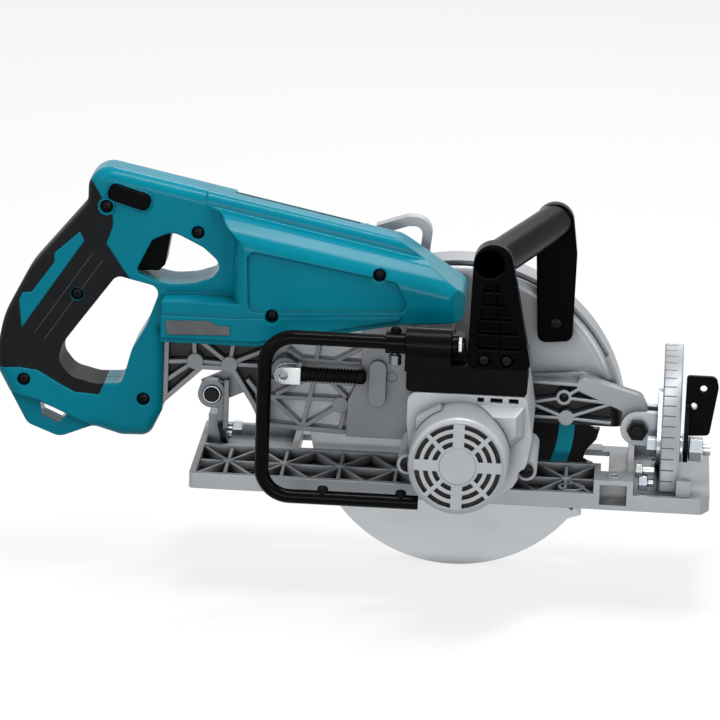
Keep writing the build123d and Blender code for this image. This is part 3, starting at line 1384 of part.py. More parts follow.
with BuildPart() as handle_left:
    add(mirror(grip_form, about=Plane.XZ))
    add(grip_left.part, mode=Mode.SUBTRACT)
    add(body_half(body_left, 0))
    slab(loop_setback, grip_half_width + 1, loop_half_width, 0, Mode.SUBTRACT)
    finish_shell(grip_half_width + 5, 0)
pieces["handle_left"] = handle_left

with BuildPart() as handle_screws:
    for place in screw_places:
        rod(place, handle_screw_radius, grip_half_width - 6, head_seat)
        rod(place, handle_screw_head_radius, head_seat, head_seat - handle_screw_head)
    for place in body_screw_places:
        rod(place, handle_screw_radius, body_left - 4, body_head_seat)
        rod(place, handle_screw_head_radius, body_head_seat, body_head_seat - handle_screw_head)
pieces["handle_screws"] = handle_screws

# Bare rating plate on the ledge, switch, controller
plate_outline = [(-185, 104.5), (-158, 105.5), (-151, 102.5), (-144, 102.5), (-144, 97), (-184, 95.5)]
with BuildPart() as rating_plate:
    slab(plate_outline, body_right - 1.5, body_right - 1.5 - plate_thickness, 1)
pieces["rating_plate"] = rating_plate

with BuildPart() as switch_unit:
    slab(switch_outline, trigger_half_width, -trigger_half_width)
pieces["switch_unit"] = switch_unit

with BuildPart() as controller:
    box(controller_rear, controller_front, controller_right, controller_left,
        controller_bottom, controller_top)
pieces["controller"] = controller

# Trigger, its pin and the lock-off button
trigger_outline = [
    (-186, 152), (-189, 133), (-193, 129), (-206, 129), (-206, 140), (-203, 160), (-184, 160),
]
with BuildPart() as trigger:
    slab(trigger_outline, trigger_half_width, -trigger_half_width, [2, 3, 2, 1, 2, 1, 1])
    rod(trigger_pivot, trigger_pin_radius + run_clearance, trigger_half_width, -trigger_half_width,
        Mode.SUBTRACT)
pieces["trigger"] = trigger

with BuildPart() as trigger_pin:
    rod(trigger_pivot, trigger_pin_radius, trigger_pin_end, -trigger_pin_end)
pieces["trigger_pin"] = trigger_pin

with BuildPart() as lock_off_button:
    extrude(button_sketch(upright(button_half_span), 0), amount=2 * button_half_span)
    fillet(lock_off_button.faces().sort_by(Axis.Y)[0].edges(), 1)
    fillet(lock_off_button.faces().sort_by(Axis.Y)[-1].edges(), 1)
pieces["lock_off_button"] = lock_off_button

# Two battery receivers on the left wall: side rails under which a slim pack slides, and terminal blocks
receiver_width = 40.0
receiver_bottom, receiver_top = 116.0, 160.0
receiver_depth = 10.0
rail_width = 4.0
rail_lip = 3.0
rail_left = body_left + receiver_depth
receiver_starts = (-146.0, -102.0)
with BuildPart() as battery_rails:
    for start in receiver_starts:
        end = start + receiver_width
        for near, far in ((start, start + rail_width), (end - rail_width, end)):
            box(near, far, body_left, rail_left, receiver_bottom, receiver_top)
        for near, far in ((start, start + 2 * rail_width), (end - 2 * rail_width, end)):
            box(near, far, rail_left - rail_lip, rail_left, receiver_bottom, receiver_top)
pieces["battery_rails"] = battery_rails

with BuildPart() as terminal_blocks:
    for start in receiver_starts:
        middle = start + receiver_width / 2
        box(middle - 9, middle + 9, body_left, body_left + 5, receiver_bottom, receiver_bottom + 12)
        for blade_x in (middle - 6, middle + 6):
            box(blade_x - 0.5, blade_x + 0.5, body_left + 1, body_left + 5,
                receiver_bottom + 12, receiver_bottom + 22)
pieces["terminal_blocks"] = terminal_blocks

# Hook bracket on top of the motor housing, with the sleeve the hook turns in
upstand_right = near_leg_left
buttress_inset = 14.0
buttress_outline = [(sleeve_front, 96), (8, 96), (6, 112), (sleeve_front, 114)]
bracket_outline_side = [(-29.5, case_top), (46, case_top), (46, hook_base_top), (-29.5, hook_base_top)]
with BuildPart() as hook_bracket:
    slab(bracket_outline_side, hook_base_left, hook_base_right, [3, 3, 0.5, 3])
    box(sleeve_rear, sleeve_front, hook_y - sleeve_radius + 2, hook_y + sleeve_radius - 2,
        hook_base_top - 4, hook_z)
    slab(buttress_outline, hook_base_left - buttress_inset, hook_base_right + buttress_inset, 1)
    box(8, 46, upstand_right, upstand_right + 12, hook_base_top - 2, hook_base_top + 10)
    cross_rod(hook_y, hook_z, sleeve_radius, sleeve_rear, sleeve_front)
    cross_rod(hook_y, hook_z, hook_rod_radius + run_clearance, sleeve_rear, sleeve_front, Mode.SUBTRACT)
    for place in foot_screw_places:
        rod((place, foot_screw_z), handle_screw_radius + seat_clearance, upstand_right + 8, upstand_right,
            Mode.SUBTRACT)
pieces["hook_bracket"] = hook_bracket

# Hook: bent steel rod with a collar at each end of the sleeve, a cross pin and two rubber studs
hook_collar_rear = sleeve_rear - air
with BuildPart() as hook_rod:
    with BuildLine(upright(hook_y)) as hook_path:
        FilletPolyline((sleeve_front + 6, hook_z), (hook_rear, hook_z), (hook_rear, hook_bottom),
                       (hook_tip, hook_bottom), radius=hook_bend)
    with BuildSketch(Plane(origin=(sleeve_front + 6, hook_y, hook_z), z_dir=(-1, 0, 0))):
        Circle(hook_rod_radius)
    sweep(path=hook_path.line)
    cross_rod(hook_y, hook_z, hook_rod_radius + 2.5, sleeve_front + air, sleeve_front + air + 3)
    cross_rod(hook_y, hook_z, hook_rod_radius + 2.5, hook_collar_rear - 12, hook_collar_rear)
    with Locations((hook_collar_rear - 6, hook_y, hook_z)):
        Hole(2 + seat_clearance)
pieces["hook_rod"] = hook_rod

with BuildPart() as hook_cross_pin:
    with BuildSketch(Plane.XY.offset(hook_z - 8)):
        with Locations((hook_collar_rear - 6, hook_y)):
            Circle(2)
    extrude(amount=16)
    with BuildSketch(Plane.XY.offset(hook_z - 8)):
        with Locations((hook_collar_rear - 6, hook_y)):
            RegularPolygon(4, 6)
    extrude(amount=-6)
pieces["hook_cross_pin"] = hook_cross_pin

stud_places = (-79.0, -30.0)
with BuildPart() as hook_studs:
    with BuildSketch(Plane.XY.offset(hook_bottom)):
        with Locations(*[(place, hook_y) for place in stud_places]):
            Circle(stud_radius)
    extrude(amount=hook_rod_radius + stud_height)
    fillet(hook_studs.edges().filter_by(GeomType.CIRCLE).group_by(Axis.Z)[-1], stud_radius / 2)
    cross_rod(hook_y, hook_bottom, hook_rod_radius, hook_rear, hook_tip, Mode.SUBTRACT)
pieces["hook_studs"] = hook_studs

# Front handle: ribbed near leg, slanting hollow bar and far leg on the guard
far_leg_right = upper_guard_right - far_leg
bar_run = (bar_far[0] - bar_near[0], far_leg_right + far_leg / 2 - hook_y, bar_far[1] - bar_near[1])
bar_length = hypot(*bar_run)
bar_plane = Plane(origin=(bar_near[0], hook_y, bar_near[1]), z_dir=bar_run)
foot_screws = [(x, foot_screw_z) for x in foot_screw_places]
far_screw = (60.4, 101.0)
bar_eye = bar_radius + 0.7
near_circles = [(*bar_near, bar_eye), (12, hook_base_top + 4, 4), (43, hook_base_top + 4, 4)]
far_circles = [(*bar_far, bar_eye), (54.5, 93.5, 5.5), (66, 94.5, 5.5), (66, 146, 6)]
pocket_top = bar_near[1] - bar_eye - 5
near_inner = [(bar_near[0], pocket_top, 5), (16, hook_base_top + 15, 3), (38, hook_base_top + 15, 3)]
with BuildPart() as front_handle:
    extrude(bracket_outline(upright(near_leg_left), near_circles), amount=near_leg_left - near_leg_right)
    extrude(bracket_outline(upright(upper_guard_right), far_circles), amount=far_leg)
    with BuildSketch(upright(near_leg_right + leg_recess)):
        add(bracket_outline(Plane.XY, near_inner))
        leg_lines = [((8, z), (46, z)) for z in range(119, 150, 9)] + [((27, 110), (bar_near[0], 160))]
        add(rib_lines(Plane.XY, leg_lines, leg_rib), mode=Mode.SUBTRACT)
    extrude(amount=leg_recess, mode=Mode.SUBTRACT)
    with BuildSketch(bar_plane):
        Circle(bar_radius)
    extrude(amount=bar_length)
    with BuildSketch(bar_plane.offset(-20)):
        Circle(bar_bore)
    extrude(amount=20 + bar_length - 12, mode=Mode.SUBTRACT)
    for place in foot_screws:
        rod(place, handle_screw_radius + seat_clearance, near_leg_left, near_leg_right, Mode.SUBTRACT)
        rod(place, handle_screw_head_radius + 0.3, near_leg_right + 4, near_leg_right, Mode.SUBTRACT)
    rod(far_screw, handle_screw_radius + seat_clearance, upper_guard_right, far_leg_right, Mode.SUBTRACT)
pieces["front_handle"] = front_handle

with BuildPart() as front_handle_screws:
    for place in foot_screws:
        rod(place, handle_screw_radius, upstand_right + 8, near_leg_right + 4)
        rod(place, handle_screw_head_radius, near_leg_right + 4, near_leg_right + 4 - handle_screw_head)
    rod(far_screw, handle_screw_radius, upper_guard_right, far_leg_right)
    rod(far_screw, handle_screw_head_radius, far_leg_right, far_leg_right - handle_screw_head)
pieces["front_handle_screws"] = front_handle_screws

for name, piece in pieces.items():
    piece.part.label = name
    export_step(piece.part, "parts/" + name + ".step")
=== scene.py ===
"""Looks of the rear handle circular saw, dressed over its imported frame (metres, +X forward, +Z up)."""
from math import cos, radians, sin

import bmesh
import bpy
from mathutils import Matrix, Vector


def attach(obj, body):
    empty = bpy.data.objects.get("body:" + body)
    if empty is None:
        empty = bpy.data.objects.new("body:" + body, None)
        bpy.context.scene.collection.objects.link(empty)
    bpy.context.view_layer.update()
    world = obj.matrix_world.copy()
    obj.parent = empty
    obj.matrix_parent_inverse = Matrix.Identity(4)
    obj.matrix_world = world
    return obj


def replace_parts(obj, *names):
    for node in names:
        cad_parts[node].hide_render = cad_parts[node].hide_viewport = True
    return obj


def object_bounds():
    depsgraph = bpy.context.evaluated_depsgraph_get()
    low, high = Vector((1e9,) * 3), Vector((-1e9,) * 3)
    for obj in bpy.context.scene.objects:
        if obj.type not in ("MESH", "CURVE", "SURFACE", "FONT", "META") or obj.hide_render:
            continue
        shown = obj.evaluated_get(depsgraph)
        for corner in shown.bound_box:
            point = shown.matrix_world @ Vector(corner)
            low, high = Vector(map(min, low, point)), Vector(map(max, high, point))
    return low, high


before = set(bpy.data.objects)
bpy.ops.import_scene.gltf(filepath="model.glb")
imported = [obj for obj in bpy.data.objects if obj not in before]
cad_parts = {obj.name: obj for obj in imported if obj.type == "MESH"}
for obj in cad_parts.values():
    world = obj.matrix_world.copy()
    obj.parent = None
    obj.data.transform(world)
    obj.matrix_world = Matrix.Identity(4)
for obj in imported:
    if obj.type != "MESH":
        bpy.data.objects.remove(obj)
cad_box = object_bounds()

scene = bpy.context.scene
scene.view_settings.view_transform = "Standard"


# Studio: white paper under the saw and a white room round it, lit by a strip above and four panels.
# Room and paper show plain white to the camera and in reflections; the paper keeps a faint shadow.
def linear(code):
    """Linear colour of an sRGB hex value."""
    parts = [int(code[i:i + 2], 16) / 255 for i in (0, 2, 4)]
    return [p / 12.92 if p <= 0.04045 else ((p + 0.055) / 1.055) ** 2.4 for p in parts] + [1.0]


def add(tree, kind, values=None, links=None, **settings):
    """Adds a node: settings go on the node, values on its sockets, links into its sockets."""
    made = tree.nodes.new("ShaderNode" + kind)
    for name, value in settings.items():
        setattr(made, name, value)
    for socket, value in (values or {}).items():
        made.inputs[socket].default_value = value
    for socket, source in (links or {}).items():
        tree.links.new(source, made.inputs[socket])
    return made


def new_tree(owner):
    """Empty node tree of a material or of the world."""
    owner.use_nodes = True
    owner.node_tree.nodes.clear()
    return owner.node_tree


def looked_at(tree):
    """1 for rays that show a thing to the eye: straight, mirrored or through glass."""
    path = add(tree, "LightPath").outputs
    mirrored = add(tree, "Math", links={0: path["Is Camera Ray"], 1: path["Is Glossy Ray"]}, operation="MAXIMUM")
    through = add(tree, "Math", links={0: mirrored.outputs[0], 1: path["Is Transmission Ray"]},
                  operation="MAXIMUM")
    return through.outputs[0]


white = linear("FFFFFF")
room = bpy.data.worlds.new("white_room")
tree = new_tree(room)
room_light = add(tree, "Background", {"Color": linear("EEF1F4"), "Strength": 0.3})
room_wall = add(tree, "Background", {"Color": white, "Strength": 1.0})
room_mix = add(tree, "MixShader", links={0: looked_at(tree), 1: room_light.outputs[0], 2: room_wall.outputs[0]})
add(tree, "OutputWorld", links={"Surface": room_mix.outputs[0]})
scene.world = room

paper_half = 3.0
glow_share = 0.8
paper_mesh = bpy.data.meshes.new("paper")
sheet = bmesh.new()
bmesh.ops.create_grid(sheet, x_segments=1, y_segments=1, size=paper_half)
bmesh.ops.translate(sheet, verts=sheet.verts, vec=(0, 0, cad_box[0][2]))
sheet.to_mesh(paper_mesh)
sheet.free()
paper = bpy.data.objects.new("paper", paper_mesh)
scene.collection.objects.link(paper)
white_paper = bpy.data.materials.new("white_paper")
tree = new_tree(white_paper)
matt = add(tree, "BsdfDiffuse", {"Color": white})
glow = add(tree, "Emission", {"Color": white}, {"Strength": looked_at(tree)})
part_glow = add(tree, "MixShader", {0: glow_share}, {1: matt.outputs[0], 2: glow.outputs[0]})
add(tree, "OutputMaterial", links={"Surface": part_glow.outputs[0]})
paper_mesh.materials.append(white_paper)

lamp_aim = Vector((-0.06, 0.0, 0.06))
for name, place, size, power in (("top_strip", (0.1, -0.12, 1.6), (1.2, 0.12), 20),
                                 ("left_panel", (-1.2, -1.4, 0.9), (0.3, 0.9), 6),
                                 ("right_panel", (1.3, -1.1, 0.6), (0.3, 0.9), 6),
                                 ("low_front", (-0.1, -3.2, 0.14), (1.25, 0.55), 23),
                                 ("back_panel", (0.3, 1.55, 1.2), (1.2, 0.3), 9)):
    light = bpy.data.lights.new(name, "AREA")
    light.shape = "RECTANGLE"
    light.size, light.size_y = size
    light.energy = power
    lamp = bpy.data.objects.new(name, light)
    lamp.location = place
    lamp.rotation_euler = (lamp_aim - Vector(place)).to_track_quat("-Z", "Y").to_euler()
    scene.collection.objects.link(lamp)

MM = 0.001
camera_azimuth = radians(3.0)
camera_height = radians(15.0)
camera_roll = radians(2.2)
camera_distance = 3213 * MM
camera_target = Vector((-64.006, 15.559, 70.488)) * MM
back = Vector((sin(camera_azimuth) * cos(camera_height), -cos(camera_azimuth) * cos(camera_height),
               sin(camera_height)))
right = Vector((cos(camera_azimuth), sin(camera_azimuth), 0))
lens = bpy.data.cameras.new("camera")
lens.lens = 250
lens.sensor_width = 36
lens.clip_end = 20
camera = bpy.data.objects.new("camera", lens)
turn = Matrix((right, back.cross(right), back)).transposed() @ Matrix.Rotation(camera_roll, 3, "Z")
camera.matrix_world = Matrix.Translation(camera_target + back * camera_distance) @ turn.to_4x4()
scene.collection.objects.link(camera)
scene.camera = camera


# Sole plate: magnesium die casting with a truss of ribs, shot blasted and clear coated; its upward faces are
# painted darker as shade.
# Ejector pips stand on the rib crossings, a ring boss in the front bay and a collar round the fence screw.
def new_material(name):
    """Empty material, with its tree and the coordinates of the object that wears it."""
    material = bpy.data.materials.new(name)
    tree = new_tree(material)
    return material, tree, add(tree, "TexCoord").outputs["Object"]


def ramp(tree, source, start, end, low=0.0, high=1.0):
    """Maps a value between a start and an end to low and high, and holds it beyond them."""
    return add(tree, "MapRange", {"From Min": start, "From Max": end, "To Min": low, "To Max": high},
               {"Value": source}).outputs[0]


def product(tree, first, second):
    """Product of two values."""
    return add(tree, "Math", links={0: first, 1: second}, operation="MULTIPLY").outputs[0]


def noise(tree, place, size, detail):
    """Noise in blobs of a size in mm."""
    return add(tree, "TexNoise", {"Scale": 1 / (size * MM), "Detail": detail}, {"Vector": place}).outputs[0]


def relief(tree, height, strength, depth, edge_radius, samples=6):
    """Normal of a fine relief on a surface with rounded edges; depth and radius in mm."""
    soft_edge = add(tree, "Bevel", {"Radius": edge_radius * MM}, samples=samples)
    return add(tree, "Bump", {"Strength": strength, "Distance": depth * MM},
               {"Height": height, "Normal": soft_edge.outputs[0]}).outputs[0]


def corners(tree, reach, open_sky, most):
    """Rises to most in corners that are closed within a reach in mm; 0 where the surface sees the open sky."""
    sky = add(tree, "AmbientOcclusion", {"Distance": reach * MM}, samples=8)
    return ramp(tree, sky.outputs["AO"], open_sky, 0.3, high=most)


def surface(tree, values, colour, roughness, normal):
    """Ends a tree with a shader: plain values on its sockets, and its colour, roughness and normal."""
    skin = add(tree, "BsdfPrincipled", values, {"Base Color": colour, "Roughness": roughness, "Normal": normal})
    add(tree, "OutputMaterial", links={"Surface": skin.outputs[0]})


def opened(material):
    """Tree, shader and object coordinates of a material, for marks that go over it."""
    kinds = {node.type: node for node in material.node_tree.nodes}
    return material.node_tree, kinds["BSDF_PRINCIPLED"], kinds["TEX_COORD"].outputs["Object"]


def casting(name, colour, shade, roughness, bays=(), metallic=0.25, corner_shade=0.75):
    """Blasted die casting: sandy grain, soft edges, painted shade in corners; bays are ramps in mm (axis, light,
    dark) of painted shade.
    """
    grain_size = 1.3   # real blasting leaves 0.2 mm; drawn coarser so that it shows
    cloud_size = 28.0
    material, tree, place = new_material(name)
    grain = noise(tree, place, grain_size, 3.0)
    cloud = noise(tree, place, cloud_size, 2.0)
    cloudy = ramp(tree, cloud, 0.35, 0.65, -0.03, 0.05)
    # painted shade: ambient occlusion darkens the corners; the cloudy tone varies at random
    shade_and_mottle = add(tree, "Math", links={0: corners(tree, 9.0, 0.95, corner_shade), 1: cloudy}, use_clamp=True).outputs[0]
    # painted shade: the bays darken towards the dark end of every ramp
    if bays:
        parts = add(tree, "SeparateXYZ", links={0: place}).outputs
        inside = None
        for axis, light_end, dark_end in bays:
            within = ramp(tree, parts[axis], light_end * MM, dark_end * MM)
            inside = within if inside is None else product(tree, inside, within)
        shade_and_mottle = add(tree, "Math", links={0: shade_and_mottle, 1: inside}, operation="MAXIMUM").outputs[0]
    tint = add(tree, "Mix", {"A": linear(colour), "B": linear(shade)}, {"Factor": shade_and_mottle}, data_type="RGBA")
    surface(tree, {"Metallic": metallic, "Specular IOR Level": 0.4}, tint.outputs["Result"],
            ramp(tree, cloud, 0.0, 1.0, roughness - 0.06, roughness + 0.08), relief(tree, grain, 0.12, 0.15, 0.7))
    return material


def dress(material, *nodes):
    """Puts a material on CAD nodes."""
    for node in nodes:
        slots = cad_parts[node].data.materials
        for place in range(len(slots)):
            slots[place] = material


def turned(shape, profile, centre, axis, steps=32, start=None):
    """Adds a lathe form in mm: profile points are (radius, height along the axis) from the centre."""
    axis = Vector(axis).normalized()
    side = Vector(start) if start else axis.orthogonal().normalized()
    line = [shape.verts.new((Vector(centre) + side * radius + axis * height) * MM) for radius, height in profile]
    edges = [shape.edges.new(pair) for pair in zip(line, line[1:])]
    bmesh.ops.spin(shape, geom=line + edges, cent=Vector(centre) * MM, axis=axis, angle=radians(360),
                   steps=steps, use_merge=True)
    bmesh.ops.remove_doubles(shape, verts=shape.verts, dist=0.002 * MM)
    bmesh.ops.recalc_face_normals(shape, faces=shape.faces)


def make(name, shape, material, body):
    """Turns a bmesh into a piece that rides on a body and wears a material."""
    for face in shape.faces:
        face.smooth = True
    mesh = bpy.data.meshes.new(name)
    shape.to_mesh(mesh)
    shape.free()
    mesh.set_sharp_from_angle(angle=radians(38))
    mesh.materials.append(material)
    made = bpy.data.objects.new(name, mesh)
    scene.collection.objects.link(made)
    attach(made, body)
    return made


def lathed(name, profile, centre, axis, steps, material, body, start=None):
    """Piece of a single lathe form."""
    shape = bmesh.new()
    turned(shape, profile, centre, axis, steps, start)
    return make(name, shape, material, body)


up, to_right, forward, backward = (0, 0, 1), (0, -1, 0), (1, 0, 0), (-1, 0, 0)
rib_top = 9.0
bay_floor = 2.5
truss_rear, truss_front, truss_right, truss_left = -162.2, 89.8, -51.2, 12.0
sole_colour, sole_shaded_top_colour = "A9ADB1", "787B7E"
# painted shade on the bay floors inside the truss
sole_magnesium = casting("sole_magnesium", sole_colour, "2C2D2E", 0.42, bays=[
    (2, rib_top - 0.6, bay_floor + 1.0), (2, 0.4, 1.2), (1, truss_right - 1.0, truss_right),
    (1, truss_left + 1.0, truss_left), (0, truss_rear - 1.0, truss_rear), (0, truss_front + 1.2, truss_front)])
tree, skin, place = opened(sole_magnesium)
tint = next(node for node in tree.nodes if node.type == "MIX")
# painted shade: faces that point up are darker
facing = add(tree, "SeparateXYZ", links={0: add(tree, "NewGeometry").outputs["Normal"]})
upward = ramp(tree, facing.outputs[2], 0.6, 0.9)
shaded_tops = add(tree, "Mix", {"A": linear(sole_colour), "B": linear(sole_shaded_top_colour)}, {"Factor": upward},
           data_type="RGBA")
tree.links.new(shaded_tops.outputs["Result"], tint.inputs["A"])
dress(sole_magnesium, "base_plate")

crossing_rear, crossing_pitch, crossing_y, crossings = -162.0, 36.0, -19.75, 7
pip_radius, pip_height, pip_round = 3.2, 1.3, 0.5
pips = bmesh.new()
for bay in range(crossings):
    crossing = (crossing_rear + (bay + 0.5) * crossing_pitch, crossing_y, rib_top - 0.5)
    turned(pips, [(0, 0), (pip_radius, 0), (pip_radius, pip_height - pip_round),
                  (pip_radius - pip_round, pip_height), (0, pip_height)], crossing, up, 20)
make("sole_pips", pips, sole_magnesium, "base")

boss_centre, boss_radius, boss_wall, boss_round = (76.0, -36.5, bay_floor), 8.6, 1.6, 0.4
boss_top = rib_top - bay_floor
lathed("sole_ring_boss", [(boss_radius, 0), (boss_radius, boss_top - boss_round),
                          (boss_radius - boss_round, boss_top), (boss_radius - boss_wall, boss_top),
                          (boss_radius - boss_wall, 0), (boss_radius, 0)],
       boss_centre, up, 40, sole_magnesium, "base")

fence_screw = (102.5, -44.0, 18.9)
lathed("fence_screw_collar", [(5.2, 0), (5.0, 0.7), (4.6, 0.9), (3.2, 0.9), (2.6, 0.3), (2.6, 0), (5.2, 0)],
       fence_screw, up, 40, sole_magnesium, "base")


# Bevel quadrant: cast upright arc, cut with a graduation every five degrees across its machined edge.
# A raised rim is laid round the edge, and the graduations are shallow grooves across it.
def tinted(tree, skin, code, factor):
    """Lays a colour by a factor over what a shader has."""
    under = skin.inputs["Base Color"].links[0].from_socket
    over = add(tree, "Mix", {"B": linear(code)}, {"Factor": factor, "A": under}, data_type="RGBA")
    tree.links.new(over.outputs["Result"], skin.inputs["Base Color"])


def embossed(tree, skin, height, strength, depth):
    """Adds a relief of a depth in mm to the normal that a shader has."""
    bump = add(tree, "Bump", {"Strength": strength, "Distance": depth * MM},
               {"Height": height, "Normal": skin.inputs["Normal"].links[0].from_socket})
    tree.links.new(bump.outputs[0], skin.inputs["Normal"])


quadrant_hinge = Vector((0, 44.0, 8.0))
quadrant_radius = 80.0
graduation_pitch = radians(5.0)
graduation_width, graduation_front = 0.9, 139.6
quadrant_alloy = casting("quadrant_alloy", "979B9F", "3A3B3D", 0.4)
tree, skin, place = opened(quadrant_alloy)
about_hinge = add(tree, "VectorMath", {1: quadrant_hinge * MM}, {0: place}, operation="SUBTRACT").outputs[0]
flat = add(tree, "VectorMath", {1: (0, 1, 1)}, {0: about_hinge}, operation="MULTIPLY")
reach = add(tree, "VectorMath", links={0: flat.outputs[0]}, operation="LENGTH").outputs["Value"]
on_rim = ramp(tree, reach, (quadrant_radius - 0.7) * MM, (quadrant_radius - 0.3) * MM)
parts = add(tree, "SeparateXYZ", links={0: about_hinge}).outputs
rightwards = add(tree, "Math", {1: -1.0}, {0: parts[1]}, operation="MULTIPLY")
angle = add(tree, "Math", links={0: parts[2], 1: rightwards.outputs[0]}, operation="ARCTAN2")
count = add(tree, "Math", {1: 1 / graduation_pitch}, {0: angle.outputs[0]}, operation="MULTIPLY")
nearest = add(tree, "Math", {1: 0.5}, {0: count.outputs[0]}, operation="PINGPONG").outputs[0]
half_groove = graduation_width / 2 / (quadrant_radius * graduation_pitch)
groove = ramp(tree, nearest, half_groove, half_groove * 0.5)
behind = ramp(tree, parts[0], (graduation_front + 0.2) * MM, (graduation_front - 0.2) * MM)
cut = product(tree, product(tree, groove, on_rim), behind)
# painted shade in the graduation grooves
tinted(tree, skin, "5B5E61", cut)
sunk = add(tree, "Math", {1: -1.0}, {0: cut}, operation="MULTIPLY")
embossed(tree, skin, sunk.outputs[0], 0.9, 0.5)
dress(quadrant_alloy, "bevel_quadrant")

rim_rear, rim_front, rim_inside, rim_outside = 131.2, 143.3, 77.6, 80.3
rim_sweep, rim_round = radians(82.0), 1.1
rim = bmesh.new()
bmesh.ops.create_grid(rim, x_segments=1, y_segments=1, size=0.5 * MM)
bmesh.ops.scale(rim, verts=rim.verts, vec=(rim_front - rim_rear, rim_outside - rim_inside, 1))
bmesh.ops.bevel(rim, geom=list(rim.verts), offset=rim_round * MM, segments=4, profile=0.5, affect="VERTICES",
                material=-1)
rim_middle = quadrant_hinge + Vector(((rim_rear + rim_front) / 2, -(rim_inside + rim_outside) / 2, 0))
bmesh.ops.translate(rim, verts=rim.verts, vec=rim_middle * MM)
bmesh.ops.spin(rim, geom=list(rim.verts) + list(rim.edges) + list(rim.faces), cent=quadrant_hinge * MM,
               axis=backward, angle=rim_sweep, steps=40)
bmesh.ops.recalc_face_normals(rim, faces=rim.faces)
make("quadrant_rim", rim, quadrant_alloy, "base")


# Brackets and pins of the tilt frame: pressed steel plate, zinc plated; the front bracket is bright and the rear
# bracket a darker copy.
# Two hex stop screws stand in the front tray and another on the rear bracket.
def plated(name, colour, roughness):
    """Zinc-plated steel: a faint cloudy blue and straw tint, fine rolling marks and painted shade in its corners.
    """
    cloud_size = 9.0
    rolling_size = 1.4   # real marks are 0.1 mm; drawn coarser so that they show
    material, tree, place = new_material(name)
    cloud = noise(tree, place, cloud_size, 3.0)
    stretched = add(tree, "Mapping", {"Scale": (1.0, 0.15, 1.0)}, {"Vector": place})
    rolling = noise(tree, stretched.outputs[0], rolling_size, 2.0)
    tint = add(tree, "ValToRGB", links={0: cloud})
    blue, straw = [[c * t for c, t in zip(linear(colour), shift)] for shift in
                   ((0.93, 0.98, 1.06, 1.0), (1.04, 1.0, 0.9, 1.0))]
    for stop, (position, shade) in zip(tint.color_ramp.elements, ((0.35, blue), (0.7, straw))):
        stop.position = position
        stop.color = shade
    # painted shade in corners
    corner_shaded = add(tree, "Mix", {"B": linear("26282A")}, {"Factor": corners(tree, 4.0, 0.9, 0.7), "A": tint.outputs[0]},
               data_type="RGBA")
    surface(tree, {"Metallic": 0.9}, corner_shaded.outputs["Result"],
            ramp(tree, cloud, 0.0, 1.0, roughness - 0.08, roughness + 0.12), relief(tree, rolling, 0.06, 0.1, 0.5))
    return material


def hex_bolt(shape, centre, axis, radius, height, shank, length):
    """Adds a chamfered hex head that rises from the centre along X, with its shank behind it."""
    chamfer = 0.14 * radius
    turned(shape, [(0, 0), (radius - chamfer, 0), (radius, 0.6 * chamfer), (radius, height - 0.6 * chamfer),
                   (radius - chamfer, height), (0, height)], centre, axis, 6, (0, 1, 0))
    turned(shape, [(0, -length), (shank - 0.4, -length), (shank, 0.4 - length), (shank, 0), (0, 0)],
           centre, axis, 24)


zinc_plate = plated("zinc_plate", "A3A7AB", 0.38)
zinc_bolt = plated("zinc_bolt", "C3C8CD", 0.28)
darker_plate = plated("darker_zinc_plate", "6C6F72", 0.4)
dress(zinc_plate, "front_bracket")
dress(darker_plate, "rear_bracket")
dress(zinc_bolt, "bevel_pins")

front_stops = bmesh.new()
hex_bolt(front_stops, (120.5, -30.0, 20.0), backward, radius=5.2, height=4.5, shank=2.6, length=7.6)
hex_bolt(front_stops, (124.0, -30.0, 12.0), backward, radius=5.6, height=6.0, shank=2.6, length=4.0)
make("front_stop_screws", front_stops, zinc_bolt, "tilt_frame")

rear_stop = bmesh.new()
hex_bolt(rear_stop, (-143.5, 4.0, 24.5), forward, radius=4.8, height=6.5, shank=2.4, length=6.0)
make("rear_stop_screw", rear_stop, zinc_bolt, "tilt_frame")


# Bevel lock: zinc bolt and heavy hex nut, clamp washer, and the black painted lever with its riveted flag.
# The nut is drawn with the chamfered corners that the plain solid leaves off.
def scaled(tree, code, factor):
    """A colour made lighter or darker by a factor."""
    return add(tree, "Mix", {"Factor": 1.0, "A": linear(code)}, {"B": factor}, data_type="RGBA",
               blend_type="MULTIPLY").outputs["Result"]


def lacquered(name, colour, roughness, specular=0.03):
    """Paint or oxide on steel: deep, even, with a faint orange peel and soft light on the edges."""
    peel_size, rub_size = 2.2, 14.0
    material, tree, place = new_material(name)
    peel = noise(tree, place, peel_size, 2.0)
    rubbed = noise(tree, place, rub_size, 4.0)
    surface(tree, {"Specular IOR Level": specular}, scaled(tree, colour, ramp(tree, rubbed, 0.3, 0.7, 0.8, 1.5)),
            ramp(tree, rubbed, 0.0, 1.0, roughness - 0.05, roughness + 0.1), relief(tree, peel, 0.05, 0.2, 0.6))
    return material


black_paint = lacquered("black_paint", "070708", 0.28)
dress(black_paint, "bevel_lever")
dress(zinc_bolt, "bevel_bolt", "bevel_clamp_washer")

lock_y, lock_z = -17.32, 32.4
nut_rear, nut_length, nut_radius, nut_chamfer, bolt_radius = 148.8, 9.2, 8.3, 1.0, 4.03
nut_land = 0.7
lock_nut = lathed("bevel_lock_nut", [(bolt_radius, 0), (nut_radius - nut_chamfer, 0), (nut_radius, nut_land),
                                     (nut_radius, nut_length - nut_land), (nut_radius - nut_chamfer, nut_length),
                                     (bolt_radius, nut_length), (bolt_radius, 0)],
                  (nut_rear, lock_y, lock_z), forward, 6, zinc_bolt, "tilt_frame", (0, 1, 0))
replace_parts(lock_nut, "bevel_nut")

